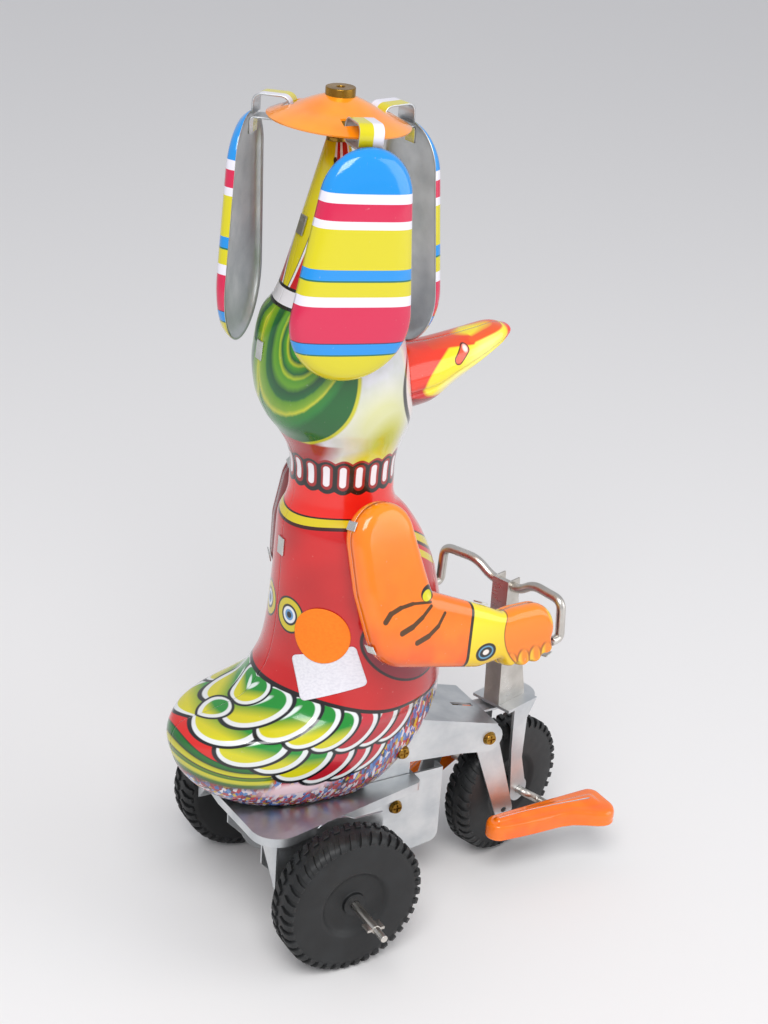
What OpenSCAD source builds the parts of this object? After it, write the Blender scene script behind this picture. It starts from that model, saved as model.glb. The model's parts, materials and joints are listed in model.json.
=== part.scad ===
// Clockwork tin duck riding a tricycle, with a whirligig of three flaps on its hat.
// +X is forward, +Y is the duck's left and +Z is up. The floor is z = 0.
// The origin lies on the floor, straight below the middle of the rear axle.

/* [Sheet and fits] */
// Thickness of the printed tinplate
tin = 0.4; // [0.3:0.05:0.6]
// Thickness of the plain frame sheet
sheet = 0.6; // [0.5:0.05:0.8]
// Radial clearance of a shaft in its bearing
run_fit = 0.06; // [0.02:0.01:0.1]
// Gap between loose neighbours
gap = 0.3; // [0.25:0.05:0.4]

/* [Wheels] */
// Radius of all three wheels
wheel_r = 19; // [17:0.5:21]
// Width of a wheel
wheel_w = 9; // [8:0.5:9.5]
// Width of the front wheel
front_wheel_w = 8; // [7:0.25:8.25]
// Radius of the dished recess in a wheel
recess_r = 8; // [6.5:0.5:10]
// Depth of the recess
recess_d = 1.6; // [0.8:0.2:2.4]
// Distance from the middle plane to the outer face of a rear wheel
track_half = 33.5; // [32.5:0.5:36]
// Distance from rear axle to front axle
wheelbase = 62.3; // [61:0.1:64]

/* [Winding shaft] */
// Radius of the winding shaft
shaft_r = 1.1; // [0.9:0.05:1.3]
// How far the shaft stands out of the right wheel
key_reach = 14.3; // [10:0.1:18]
// Width across the key ears
ear_w = 4.6; // [3.8:0.1:5.4]
// Thickness of the key ears
ear_t = 0.7; // [0.5:0.1:1]
// Length of the plain end outside the ears
key_tip = 4; // [3:0.5:6]
// Radius of that end, turned down for the key
tip_r = 0.9; // [0.7:0.05:0.9]

/* [Clockwork] */
// Gear module
gear_m = 0.5; // [0.5]
// Teeth of the great wheel
great_n = 30; // [30]
// Teeth of the contrate wheel
crown_n = 24; // [24]
// Teeth of a pinion
pinion_n = 10; // [10]
// Thickness of the great wheel
great_t = 1.2; // [0.8:0.1:1.6]
// Half width of the clockwork frame, outside its plates
box_half = 10; // [9.8:0.1:10.4]
// Front edge of the clockwork plates
box_front = 37; // [36:0.5:38]
// Width of the mainspring
spring_w = 6; // [5:0.5:6.5]
// Outer radius of the mainspring
spring_r = 8; // [7:0.25:8.25]
// Thickness of the mainspring
spring_t = 0.3; // [0.2:0.05:0.4]
// Turns of the mainspring at rest
spring_turns = 5; // [4:1:6]
// Radius of the frame pillars
pillar_r = 1.4; // [1.2:0.1:1.6]

/* [Platform] */
// Height of the platform top
deck_z = 36; // [35.6:0.1:36.6]
// Half width of the platform at the rear
deck_half = 23.4; // [22.8:0.2:23.6]
// Half width of the platform at the front
deck_front_half = 15; // [13:0.5:17]
// Front edge of the platform
deck_front = 28; // [24:0.5:32]
// Rear edge of the platform
deck_rear = 21.5; // [21:0.5:23]
// Height of the turned-down edge
deck_lip = 2.4; // [1.8:0.1:3]

/* [Front frame] */
// Height of the knee pivots
knee_z = 41; // [40:0.5:42]
// Distance from the rear axle to the knee pivots
knee_x = 50; // [49:0.5:51]
// Radius of the rounded frame ends
arm_end_r = 4; // [3.5:0.1:4.4]
// Radius of a brass screw head
screw_head_r = 1.9; // [1.6:0.1:2.2]
// Radius of a brass screw shank
screw_r = 1.0; // [0.8:0.1:1.2]

/* [Steering] */
// Steering angle at rest, turned to the left
steer = 17; // [0:1:20]
// Height of the fork crown
crown_z = 46; // [45.5:0.1:46.5]
// Half width of the fork, outside
fork_half = 6.2; // [6.2:0.1:6.4]
// Thickness of the fork sheet
fork_t = 0.8; // [0.6:0.05:0.8]
// Radius of the front axle wire
wire_r = 1.1; // [0.9:0.05:1.2]
// Throw of the cranks
crank_r = 5.5; // [4.5:0.25:6]
// Angle of the right crank below level
crank_angle = 37; // [0:1:60]
// Radius of the handlebar wire
bar_r = 1.2; // [1:0.05:1.3]
// Height of the handlebar shoulders
bar_z = 84; // [82:0.5:86]
// Half width of the handlebar
bar_half = 19.5; // [18:0.5:20]
// Drop of the handlebar ends
bar_drop = 10; // [8:0.5:11]

/* [Legs and feet] */
// Length of a leg link, pivot to pivot
leg_len = 26.6; // [26.2:0.1:27.4]
// Width of a leg link at the knee
leg_top_w = 7; // [6.5:0.25:7]
// Width of a leg link at the heel
leg_low_w = 5.4; // [4.5:0.1:6]
// Length of a foot
foot_len = 36; // [32:0.5:38]
// Width of a foot at the toes
foot_w = 13; // [10:0.5:14]
// Height of a foot
foot_h = 4.6; // [4:0.2:6]

/* [Duck] */
// Height of the hat top
hat_z = 198.5; // [196:0.5:200]
// Radius of the hat at its top
hat_top_r = 2.6; // [2.4:0.1:3]
// Distance from the rear axle to the propeller shaft
spindle_x = 2; // [1.5:0.1:2.5]
// Height of the shoulder pivots
shoulder_z = 110.5; // [109:0.5:112]
// Distance from the rear axle to the shoulder pivots
shoulder_x = 7.7; // [7:0.1:9]
// Distance from the middle plane to the middle of an arm at the shoulder
shoulder_y = 20; // [19.8:0.1:21]
// Thickness of an arm
arm_t = 7.4; // [6.4:0.2:7.8]

/* [Whirligig] */
// Height of the hub top
total_z = 210; // [209.5:0.5:213]
// Radius of the propeller shaft
spindle_r = 0.9; // [0.8:0.05:1]
// Radius of the disc
disc_r = 15.9; // [15:0.1:16.5]
// Rise of the domed disc
disc_rise = 4; // [3:0.25:4.5]
// Tilt of the disc on its hub
disc_tilt = 4; // [0:0.5:5]
// Radius of the brass hub
hub_r = 3.3; // [2.8:0.1:3.8]
// Length of a flap
flap_len = 52; // [48:0.5:53]
// Width of a flap near its lower end
flap_w = 28; // [24:0.5:29]
// Width of a flap near its top
flap_top_w = 21; // [18:0.5:22]
// Depth of a flap's dish
flap_d = 3.4; // [2.4:0.2:4]
// Width of a flap's strap
strap_w = 5.6; // [4.5:0.1:6.4]

/* [Hidden] */

$fn = 48;
axle_z = wheel_r;
eps = 0.01;

// Great wheel and second arbor: centre distance from the tooth counts
great_pitch = gear_m * great_n / 2;
pinion_pitch = gear_m * pinion_n / 2;
crown_pitch = gear_m * crown_n / 2;
addendum = 0.8 * gear_m;
dedendum = 1.25 * gear_m;
backlash = 0.12;
arbor_gap = great_pitch + pinion_pitch;
arbor_x = spindle_x;
arbor_z = axle_z + sqrt(arbor_gap * arbor_gap - arbor_x * arbor_x);
mesh_angle = atan2(arbor_z - axle_z, arbor_x);
arbor_r = 0.8;

// Clockwork stations across the frame, from right (-Y) to left (+Y)
plate_in = box_half - sheet;
spring_y = -2 - spring_w;
click_y = 5.2;
click_t = 0.8;
great_y = click_y + click_t + 0.4;
sleeve_r = 2;
hub_r_spring = 2;
pinion_y = great_y - 0.2;
pinion_t = great_t + 0.6;
crown_tip_y = pinion_pitch - addendum;
crown_root_y = pinion_pitch + dedendum;
crown_disc_t = 0.8;
crown_face = 1.4;
crown_out = crown_pitch + crown_face / 2;
spindle_mesh_z = arbor_z + crown_pitch;
pinion_z0 = spindle_mesh_z - crown_face / 2 - 0.6;
bracket_z = arbor_z + 2.1;
bracket_t = 0.8;
spindle_low = bracket_z - 0.7;

// Pillars between the plates: [x, z]
anchor = [spring_r + spring_t / 2 + pillar_r, axle_z];
pillars = [anchor, [23.6, 26.7], [-10.5, 27]];

// Deck outline: corner centres
deck_corner_r = 7;
deck_nose_r = 2;
deck_taper = atan((deck_half - deck_front_half) / (deck_front + deck_rear));
ear_y = deck_half - 1.6;
tab_x0 = 14;
tab_x1 = 27;
hip = [20.9, 47];
// Distance of the hip screws' heads from the middle
hip_seat = 15.7;

// Front frame: crease line of the hood and where it ends
arm_y = box_half + sheet;
hood_rear = [24, 52.9];
hood_front = [52.3, 44.8];
tongue_z = crown_z - 2.2;
tongue_half = 2.9;
link_y = box_half - 1.4;

// Fork
fork_in = fork_half - fork_t;
stem_half = 2.6;
stem_t = 0.5;
stem_u = -6.1;
bar_mid_z = 80.3;
bar_u = -8.2;
bar_tip = 3.2;
king_r = 1.2;
crank_v = 8.8;
pin_end = 20.6;
foot_v = 16;

// Leg link and foot: where the linkage closes at rest
foot_behind = 13;
foot_heel = 9;
foot_inner = 2.9;
foot_yaw = 2 - steer;
function turn(v, a) = [v[0] * cos(a) - v[1] * sin(a), v[0] * sin(a) + v[1] * cos(a)];
// Crank pin in the fork's own frame: [forward, up], side is -1 right or 1 left
function pin_uz(side) = [-side * crank_r * cos(crank_angle), axle_z + side * crank_r * sin(crank_angle)];
// Crank pin in the toy's frame: [x, z]
function pin_xz(side) = [wheelbase + turn([pin_uz(side)[0], side * foot_v], steer)[0], pin_uz(side)[1]];
// Angle of the foot, heel to pin, above level
function foot_pitch(side) =
    let (p = pin_xz(side), k = [knee_x, knee_z], d = k - p, dist = norm(d),
        a = acos((dist * dist + foot_behind * foot_behind - leg_len * leg_len) / (2 * dist * foot_behind)))
    atan2(d[1], d[0]) + a - 180;
function heel_xz(side) = pin_xz(side) - foot_behind * [cos(foot_pitch(side)), sin(foot_pitch(side))];
// Swing of the leg link from straight down, forward positive
function leg_swing(side) = atan2(heel_xz(side)[0] - knee_x, knee_z - heel_xz(side)[1]);

// Duck: rings of the body from the lower edge to the hat top
// [back x, front x, half width, height, rise at front, rise at back, half width at front]
rings = [
    [-24, 33, 12.8, deck_z + 0.4, 19.5, 2, 20.5],
    [-29.5, 35.5, 16.5, 41, 16.5, 2, 20.5],
    [-33, 36.8, 19, 47, 11.5, 1.5, 20.6],
    [-34.6, 37.2, 20.3, 54, 6, 1, 20.7],
    [-32.5, 37, 20.7, 59, 2.5, 0.6, 20.8],
    [-24, 36.8, 20.8, 61.3, 1.5, 0, 20.8],
    [-16.5, 36.5, 20.8, 63.5, 0.8, 0, 20.8],
    [-12.5, 36, 20.6, 67.5, 0, 0, 20.6],
    [-9.5, 35.6, 20.4, 73, 0, 0, 20.4],
    [-7.9, 35, 20.2, 82, 0, 0, 20.2],
    [-7.4, 33, 18.5, 92, 0, 0, 18.5],
    [-7.2, 29.5, 16.8, 101, 0, 0, 16.8],
    [-6.9, 25, 15.2, 108, 0, 0, 15.2],
    [-5.2, 21, 12.8, 112.5, 0, 0, 12.8],
    [-4.6, 20.2, 12.2, 116, 0, 0, 12.2],
    [-4.6, 20.2, 12, 121.5, 0, 0, 12],
    [-5.6, 20.8, 12.4, 126, 0, 0, 12.4],
    [-8.4, 22.6, 14.2, 131, 0, 0, 14.2],
    [-11.8, 23.4, 16, 135.5, 0, 0, 16],
    [-14.3, 22.6, 17, 141.5, 0, 0, 17],
    [-15.1, 21.2, 16.9, 148, 0, 0, 16.9],
    [-14.6, 19.8, 16, 154, 0, 0, 16],
    [-13.4, 17.6, 14.9, 159, 0, 0, 14.9],
    [-10.9, 14.9, 12.9, 162.5, 0, 0, 12.9],
    [-9.6, 13.6, 11.6, 165.5, 0, 0, 11.6],
    [spindle_x - hat_top_r, spindle_x + hat_top_r, hat_top_r, hat_z, 0, 0, hat_top_r]];
// Bill slices from the root to the tip: [x, height of the middle, half height, half width]
bill = [
    [19, 141.2, 7.8, 9], [27, 141.6, 7.4, 7.6], [34, 144, 5.6, 6.8],
    [41, 146.6, 4, 6], [46.5, 148.6, 2.8, 4.6], [50, 149.4, 1.2, 2.4]];
ring_steps = 20;

// Arm outline, from the shoulder pivot to the hand: [x, z, radius]
arm_line = [[0, 0, 8.4], [1.5, -11, 9.5], [4, -22.2, 9.8], [24.6, -29.6, 7.8], [33.3, -31.2, 6.4],
    [43.6, -32.4, 7.6]];
pin_r = 1.2;
// Lean outwards, turn towards the middle and drop of the hand, right and left
function arm_tilt(side) = side < 0 ? 14 : 15;
function arm_yaw(side) = side < 0 ? 7 : 15;
function arm_drop(side) = side < 0 ? 0 : 9;
// Slots in the hands for the turned end and the upright of the bar: [low corner, high corner]
function hand_slots(side) = side < 0
    ? [[[45, -1, -39.3], [56, 5, -30.3]], [[47.2, -2.4, -39.3], [56, 5, -20]]]
    : [[[41.4, -5.7, -37.5], [56, 2.9, -28.6]], [[42.7, -4, -37.5], [48.2, 5.7, -18]],
        [[48.1, -4, -28.7], [56, 0.1, -18]]];

// Whirligig
hub_h = 3.2;
disc_sheet = 0.5;
disc_base = total_z - hub_h - disc_rise;
dome_r = (disc_r * disc_r + disc_rise * disc_rise) / (2 * disc_rise);
disc_cap = asin(disc_r / dome_r);
collar_z = hat_z + 0.9 + gap;
hinge_r = 14;
hinge_z = 0.7;
slot_in = 9.6;
slot_out = 12.3;
slot_w = 7.5;
loop_t = 0.4;
loop_in = 3.1;
loop_out = 4.6;
loop_half = 2.2;
flap_x = loop_out + 2 * loop_t + gap;
flap_drop = 1.6;
flap_az = [-97, 9, 137];

// ---------------------------------------------------------------- helpers
// Flat piece in the XZ plane, from y0 to y0 + t
module slab(y0, t) translate([0, y0 + t, 0]) rotate([90, 0, 0]) linear_extrude(t) children();

// Round bar along Y
module rod(p, y0, y1, r) translate([p[0], y1, p[1]]) rotate([90, 0, 0]) cylinder(r = r, h = y1 - y0);

// Round bar between two points
module bar(a, b, r) {
    d = b - a;
    translate(a) rotate([0, acos(d[2] / norm(d)), atan2(d[1], d[0])]) cylinder(r = r, h = norm(d));
}

// Bent wire through a list of points
module wire(pts, r) {
    for (i = [0 : len(pts) - 2]) bar(pts[i], pts[i + 1], r);
    for (i = [1 : len(pts) - 2]) translate(pts[i]) sphere(r = r + 0.04);
}

// Points on an arc
function arc(c, r, a0, a1, n) = [for (i = [0 : n]) let (a = a0 + (a1 - a0) * i / n) c + r * [cos(a), sin(a)]];

// Outline round a chain of circles [x, y, radius], rounded where it bends outwards
function seg_dir(a, b) = atan2(b[1] - a[1], b[0] - a[0]);
function seg_lean(a, b) = acos((a[2] - b[2]) / norm([b[0] - a[0], b[1] - a[1]]));
function on_rim(a, t) = [a[0] + a[2] * cos(t), a[1] + a[2] * sin(t)];
function cross_pt(p, u, q, v) = let (
        k = ((q[0] - p[0]) * sin(v) - (q[1] - p[1]) * cos(v)) / (cos(u) * sin(v) - sin(u) * cos(v)))
    p + k * [cos(u), sin(u)];
function chain_side(c, w) = let (n = len(c)) [for (i = [0 : n - 1]) each let (
        into = i == 0 ? 0 : seg_dir(c[i - 1], c[i]) + w * seg_lean(c[i - 1], c[i]),
        away = i == n - 1 ? 0 : seg_dir(c[i], c[i + 1]) + w * seg_lean(c[i], c[i + 1]),
        bend = (((away - into) * w + 180) % 360 + 360) % 360 - 180)
    i == 0 ? [on_rim(c[0], away)] : i == n - 1 ? [on_rim(c[i], into)]
        : bend > 0 ? [cross_pt(on_rim(c[i - 1], into), into - w * 90, on_rim(c[i], away), away - w * 90)]
        : [for (k = [0 : 4]) on_rim(c[i], into + w * bend * k / 4)]];
module chain(c) {
    n = len(c);
    t0 = seg_dir(c[0], c[1]);
    k0 = seg_lean(c[0], c[1]);
    t1 = seg_dir(c[n - 2], c[n - 1]);
    k1 = seg_lean(c[n - 2], c[n - 1]);
    left = chain_side(c, 1);
    right = chain_side(c, -1);
    polygon(concat([for (i = [1 : 13]) on_rim(c[0], t0 + k0 + (360 - 2 * k0) * i / 14)], right,
        [for (i = [1 : 13]) on_rim(c[n - 1], t1 - k1 + 2 * k1 * i / 14)],
        [for (i = [len(left) - 1 : -1 : 0]) left[i]]));
}
module taper2d(a, ra, b, rb) chain([[a[0], a[1], ra], [b[0], b[1], rb]]);

// Mirror to the left for side 1
module side(s) mirror([0, s > 0 ? 1 : 0, 0]) children();

// The steered front end: forward is +X, the king pin axis is the origin
module steered() translate([wheelbase, 0, 0]) rotate([0, 0, steer]) children();

// ---------------------------------------------------------------- gears
// Involute gear outline with a tooth on +X
module gear2d(n) {
    pitch = gear_m * n / 2;
    base = pitch * cos(20);
    root = pitch - dedendum;
    tip = pitch + addendum;
    half = 90 / n - backlash / (4 * pitch) * 180 / PI;
    lean = half + tan(20) * 180 / PI - 20;
    function flank(r) = let (t = sqrt(r * r / (base * base) - 1) * 180 / PI)
        r * [cos(lean - t + atan(t * PI / 180)), sin(lean - t + atan(t * PI / 180))];
    up = [for (i = [0 : 4]) flank(max(base, root) + (tip - max(base, root)) * i / 4)];
    union() {
        circle(root, $fn = 60);
        for (k = [0 : n - 1]) rotate(360 * k / n) polygon(concat(
            [[root * 0.8, -root * 0.8 * sin(lean)]],
            [for (p = up) [p[0], -p[1]]],
            [for (i = [4 : -1 : 0]) up[i]],
            [[root * 0.8, root * 0.8 * sin(lean)]]));
    }
}

module great_wheel() color("goldenrod") difference() {
    translate([0, 0, axle_z]) slab(great_y, great_t) rotate(mesh_angle) gear2d(great_n);
    rod([0, axle_z], great_y - 1, great_y + great_t + 1, sleeve_r);
}

module second_pinion() color("goldenrod") difference() {
    translate([arbor_x, 0, arbor_z]) slab(pinion_y, pinion_t)
        rotate(mesh_angle + 180 + 180 / pinion_n) gear2d(pinion_n);
    rod([arbor_x, arbor_z], pinion_y - 1, pinion_y + pinion_t + 1, arbor_r);
}

// Disc with teeth on its right face, turning the upright spindle
module contrate_wheel() color("goldenrod") difference() {
    union() {
        rod([arbor_x, arbor_z], crown_root_y, crown_root_y + crown_disc_t, crown_out);
        rod([arbor_x, arbor_z], crown_root_y, crown_root_y + 2 * crown_disc_t, 2);
        for (k = [0 : crown_n - 1])
            translate([arbor_x, crown_root_y, arbor_z]) rotate([0, -90 + 360 * (k + 0.5) / crown_n, 0])
                translate([crown_pitch - crown_face / 2, 0, 0]) rotate([90, 0, 90])
                    linear_extrude(crown_face) polygon([[0.1, -0.42], [0.1, 0.42],
                        [crown_tip_y - crown_root_y, 0.2], [crown_tip_y - crown_root_y, -0.2]]);
    }
    rod([arbor_x, arbor_z], 0, 2 * crown_root_y, arbor_r);
}

module spindle_pinion() color("goldenrod") difference() {
    union() {
        translate([spindle_x, 0, pinion_z0]) linear_extrude(crown_face + 1.2)
            rotate(90) gear2d(pinion_n);
        translate([spindle_x, 0, bracket_z + bracket_t + 0.1])
            cylinder(r = 1.8, h = pinion_z0 - bracket_z - bracket_t - 0.1 + eps);
    }
    translate([spindle_x, 0, bracket_z]) cylinder(r = spindle_r, h = 10);
}

module second_arbor() color("silver")
    rod([arbor_x, arbor_z], -box_half - 0.8, box_half + 0.8, arbor_r);

// ---------------------------------------------------------------- clockwork
module winding_shaft() color("silver") {
    rod([0, axle_z], key_tip - track_half - key_reach, track_half + 1.6, shaft_r);
    rod([0, axle_z], -track_half - key_reach, 1 + key_tip - track_half - key_reach, tip_r);
    rod([0, axle_z], spring_y - 0.2, spring_y + spring_w + 0.2, hub_r_spring);
    translate([-ear_w / 2, -track_half - key_reach + key_tip, axle_z - ear_t / 2]) cube([ear_w, 3, ear_t]);
}

module ratchet_wheel() color("goldenrod") difference() {
    translate([0, 0, axle_z]) slab(click_y, click_t) polygon([for (k = [0 : 11]) for (j = [0, 1])
        (j == 0 ? 3.2 : 2.3) * [cos(30 * k + j * 2), sin(30 * k + j * 2)]]);
    rod([0, axle_z], click_y - 1, click_y + click_t + 1, shaft_r);
}

// Pawl riveted to the great wheel, its nose resting on the ratchet
module click() color("silver") {
    slab(click_y, click_t) taper2d([-4.6, axle_z + 3], 0.9, [-1.6, axle_z + 3.4], 0.35);
    rod([-4.6, axle_z + 3], click_y + click_t - eps, great_y, 0.7);
}

module drive_sleeve() color("silver") difference() {
    rod([0, axle_z], great_y, track_half - recess_d - 0.4, sleeve_r);
    rod([0, axle_z], great_y - 1, track_half, shaft_r + run_fit);
}

// Flat spiral, hooked round the anchor pillar at its outer end
module mainspring() {
    r0 = hub_r_spring + spring_t / 2 + run_fit;
    n = 24 * spring_turns;
    function mid(i) = (r0 + (spring_r - r0) * i / n) * [cos(360 * i / 24), sin(360 * i / 24)];
    function off(i, s) = let (m = mid(i)) m + s * spring_t / 2 * m / norm(m);
    color("slategray") slab(spring_y, spring_w) translate([0, axle_z]) union() {
        polygon(concat([for (i = [0 : n]) off(i, 1)], [for (i = [n : -1 : 0]) off(i, -1)]));
        translate([anchor[0], 0]) polygon(concat(arc([0, 0], pillar_r + 0.06, 180, 0, 12),
            arc([0, 0], pillar_r + spring_t, 0, 180, 12)));
    }
}

module plate_outline() polygon(concat(
    [[-14, deck_z - sheet], [box_front, deck_z - sheet]],
    arc([box_front - 3, 16], 3, 0, -70, 5),
    arc([0, axle_z], 10.5, -78, -160, 10),
    [[-14, 20]]));

// Clockwork plate: side -1 is the right one
module side_plate(s, bore) color("lightgray") side(s) difference() {
    union() {
        slab(-box_half, sheet) union() {
            plate_outline();
            translate([tab_x0, deck_z - sheet - eps]) square([tab_x1 - tab_x0, hip[1] + 4 - deck_z + sheet]);
        }
        // front edge turned inwards
        translate([box_front - sheet, -box_half, 16]) cube([sheet, 3.4, deck_z - sheet - 16]);
    }
    rod([0, axle_z], -box_half - 1, -box_half + 2, bore);
    rod([arbor_x, arbor_z], -box_half - 1, -box_half + 2, arbor_r + run_fit);
    rod(hip, -box_half - 1, -box_half + 2, screw_r);
    rod(pillars[1], -box_half - 1, -box_half + 2, screw_r);
}

module plate_pillars() color("silver")
    for (p = pillars) rod(p, -plate_in, plate_in, pillar_r);

// Slotted or crossed brass screw head with its shank, along Y, head at y = 0 facing -Y
module screw(shank) difference() {
    union() {
        translate([0, 0, 0]) rotate([90, 0, 0]) cylinder(r1 = screw_head_r, r2 = screw_head_r - 0.5, h = 1);
        rotate([-90, 0, 0]) cylinder(r = screw_r, h = shank);
    }
    translate([-1.1, -1.1, -0.22]) cube([2.2, 0.5, 0.44]);
    translate([-0.22, -1.1, -1.1]) cube([0.44, 0.5, 2.2]);
}

module plate_screws() color("darkgoldenrod")
    for (s = [-1, 1]) side(s) translate([pillars[1][0], -box_half, pillars[1][1]]) screw(sheet);

module spindle_bracket() color("lightgray") difference() {
    union() {
        translate([spindle_x - 2.5, -plate_in, bracket_z]) cube([5, plate_in + 2, bracket_t]);
        translate([spindle_x - 2.5, -plate_in, bracket_z]) cube([5, sheet, 3.4]);
    }
    translate([spindle_x, 0, bracket_z - 1]) cylinder(r = spindle_r + run_fit, h = 3);
}

// ---------------------------------------------------------------- platform
module deck_outline(inset) {
    rear = [deck_corner_r - deck_rear + 0.9, deck_half - deck_corner_r];
    nose = [deck_front - deck_nose_r, deck_front_half - deck_nose_r];
    half = concat(arc(nose, deck_nose_r - inset, 0, 90 - deck_taper, 4),
        arc(rear, deck_corner_r - inset, 90 - deck_taper, 172, 10));
    polygon(concat(half, [[-deck_rear + inset, 0]], [for (i = [len(half) - 1 : -1 : 0]) [half[i][0], -half[i][1]]]));
}

// Ear under each side of the platform that carries the rear axle
module axle_ear(s, bore) side(s) difference() {
    slab(-ear_y, sheet) union() {
        taper2d([0, axle_z], 4.5, [0, deck_z - 8], 9);
        translate([-13, deck_z - 9]) square([26, 9 - sheet]);
    }
    rod([0, axle_z], -ear_y - 1, -ear_y + 2, bore);
}

module platform() color("silver") {
    difference() {
        translate([0, 0, deck_z - deck_lip]) linear_extrude(deck_lip) deck_outline(0);
        translate([0, 0, deck_z - deck_lip - 1]) linear_extrude(deck_lip - sheet + 1) deck_outline(sheet);
        // window for the gears and slots for the plate tabs
        translate([spindle_x - 7.4, -4, deck_z - 2]) cube([14.8, 9.6, 4]);
        for (s = [-1, 1]) translate([tab_x0 - 0.2, s * (box_half - sheet / 2) - 0.5, deck_z - 2])
            cube([tab_x1 - tab_x0 + 0.4, 1, 4]);
    }
    axle_ear(-1, shaft_r + run_fit);
    axle_ear(1, sleeve_r + run_fit);
    // rear gussets
    for (s = [-1, 1]) side(s) translate([-16.4, 0, 0]) rotate([90, 0, 90]) linear_extrude(sheet)
        polygon([[-ear_y - sheet, deck_z - sheet], [-11, deck_z - sheet], [-12, deck_z - 3],
            [-ear_y - sheet, 20.6]]);
    for (s = [-1, 1]) side(s) translate([-16.4, -ear_y, 21.4]) cube([6, sheet, deck_z - 21.4 - sheet]);
}

// ---------------------------------------------------------------- front frame
module front_frame() color("silver") difference() {
    union() {
        for (s = [-1, 1]) side(s) slab(-arm_y, sheet) difference() {
            union() {
                polygon(concat([[tab_x0 + 3, 40.6], [42, 38.4]],
                    [[knee_x, knee_z - arm_end_r]], arc([knee_x, knee_z], arm_end_r, -90, 60, 8),
                    [hood_front, hood_rear, [tab_x0, hood_rear[1]]],
                    arc([tab_x0 + 3, 43.6], 3, 180, 270, 4)));
            }
            translate([knee_x, knee_z]) circle(screw_r);
            translate(hip) circle(screw_r);
        }
        // hood
        translate([0, arm_y, 0]) rotate([90, 0, 0]) linear_extrude(2 * arm_y) polygon([hood_rear, hood_front,
            hood_front + [0, -sheet], hood_rear + [0, -sheet]]);
        // step down to the tongue under the fork crown
        translate([hood_front[0] - sheet, -tongue_half, tongue_z])
            cube([sheet, 2 * tongue_half, hood_front[1] - tongue_z]);
        translate([hood_front[0] - sheet, -tongue_half, tongue_z])
            cube([wheelbase - hood_front[0] + sheet, 2 * tongue_half, sheet]);
        translate([wheelbase, 0, tongue_z]) cylinder(r = tongue_half + 0.5, h = sheet);
    }
    translate([wheelbase, 0, tongue_z - 1]) cylinder(r = king_r, h = 3);
    // small slot in the hood
    translate([44, -1.2, 40]) cube([6.5, 1.6, 12]);
}

module hip_screws() color("darkgoldenrod")
    for (s = [-1, 1]) side(s) translate([hip[0], -hip_seat, hip[1]]) screw(hip_seat - plate_in);

module knee_screws() color("darkgoldenrod")
    for (s = [-1, 1]) side(s) {
        translate([knee_x, -arm_y, knee_z]) screw(arm_y - link_y + sheet + 0.5);
        rod([knee_x, knee_z], -link_y + sheet + 0.1, -link_y + sheet + 0.5, screw_r + 0.6);
    }

// ---------------------------------------------------------------- steering
module fork() color("silver") steered() difference() {
    union() {
        for (s = [-1, 1]) side(s) slab(-fork_half, fork_t) union() {
            polygon([[-5, crown_z], [4, crown_z], [0.6, crown_z - 5], [0.2, axle_z + 10], [3, axle_z],
                [-3.2, axle_z], [-4.6, axle_z + 14]]);
            translate([0, axle_z]) circle(3.3);
        }
        translate([0, 0, crown_z - fork_t]) linear_extrude(fork_t) union() {
            translate([-7.4, -fork_half]) square([8.2, 2 * fork_half]);
            translate([0.8, 0]) circle(fork_half);
        }
    }
    translate([0, 0, crown_z - 3]) cylinder(r = king_r + run_fit, h = 5);
    rod([0, axle_z], -10, 10, wire_r + run_fit);
}

module king_pin() color("silver") translate([wheelbase, 0, 0]) {
    translate([0, 0, tongue_z - 0.7]) cylinder(r = 2, h = 0.7);
    translate([0, 0, tongue_z - eps]) cylinder(r = king_r, h = crown_z - tongue_z + 0.2);
    translate([0, 0, crown_z + 0.1]) cylinder(r = 1.7, h = 0.7);
}

module king_pin_washer() color("silver") translate([wheelbase, 0, tongue_z + sheet]) difference() {
    cylinder(r = 2.5, h = crown_z - fork_t - tongue_z - sheet - 0.1);
    translate([0, 0, -1]) cylinder(r = king_r, h = 4);
}

// Channel standing on the crown: two flanks and a rear web
module stem() color("gainsboro") steered() difference() {
    union() {
        for (s = [-1, 1]) side(s) slab(-stem_half, stem_t) polygon([[-7.4, crown_z], [3, crown_z],
            [-3.6, bar_mid_z - 4], [-3.8, bar_mid_z + 2], [-8.4, bar_mid_z + 2], [-8.4, bar_mid_z - 4]]);
        slab(-stem_half, 2 * stem_half) polygon([[-7.4, crown_z], [-6.9, crown_z],
            [-7.9, bar_mid_z - 4], [-7.9, bar_mid_z + 2], [-8.4, bar_mid_z + 2], [-8.4, bar_mid_z - 4]]);
    }
    rod([stem_u, bar_mid_z], -5, 5, bar_r);
}

module handlebar() color("silver") steered() {
    half = [[stem_u, 4.6, bar_mid_z], [-7, 9.5, bar_z], [bar_u, bar_half, bar_z],
        [bar_u, bar_half + 0.6, bar_z - bar_drop], [bar_u - bar_tip, bar_half + 0.6, bar_z - bar_drop]];
    wire(concat([for (i = [len(half) - 1 : -1 : 0]) [half[i][0], -half[i][1], half[i][2]]], half), bar_r);
}

// Plastic wheel with a rounded tread, axis along Z, outer face up
module wheel(bore, wide = wheel_w) rotate_extrude($fn = 96) polygon(concat(
    [[bore, 2.4], [recess_r, 2.4], [recess_r + 1, 0]],
    arc([wheel_r - 2.2, 2.2], 2.2, -90, 0, 5),
    arc([wheel_r - 2.2, wide - 2.2], 2.2, 0, 90, 5),
    [[recess_r + 0.6, wide], [recess_r, wide - recess_d], [bore + 2, wide - recess_d],
        [bore + 1.8, wide - 0.3], [bore, wide - 0.3]]));

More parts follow.
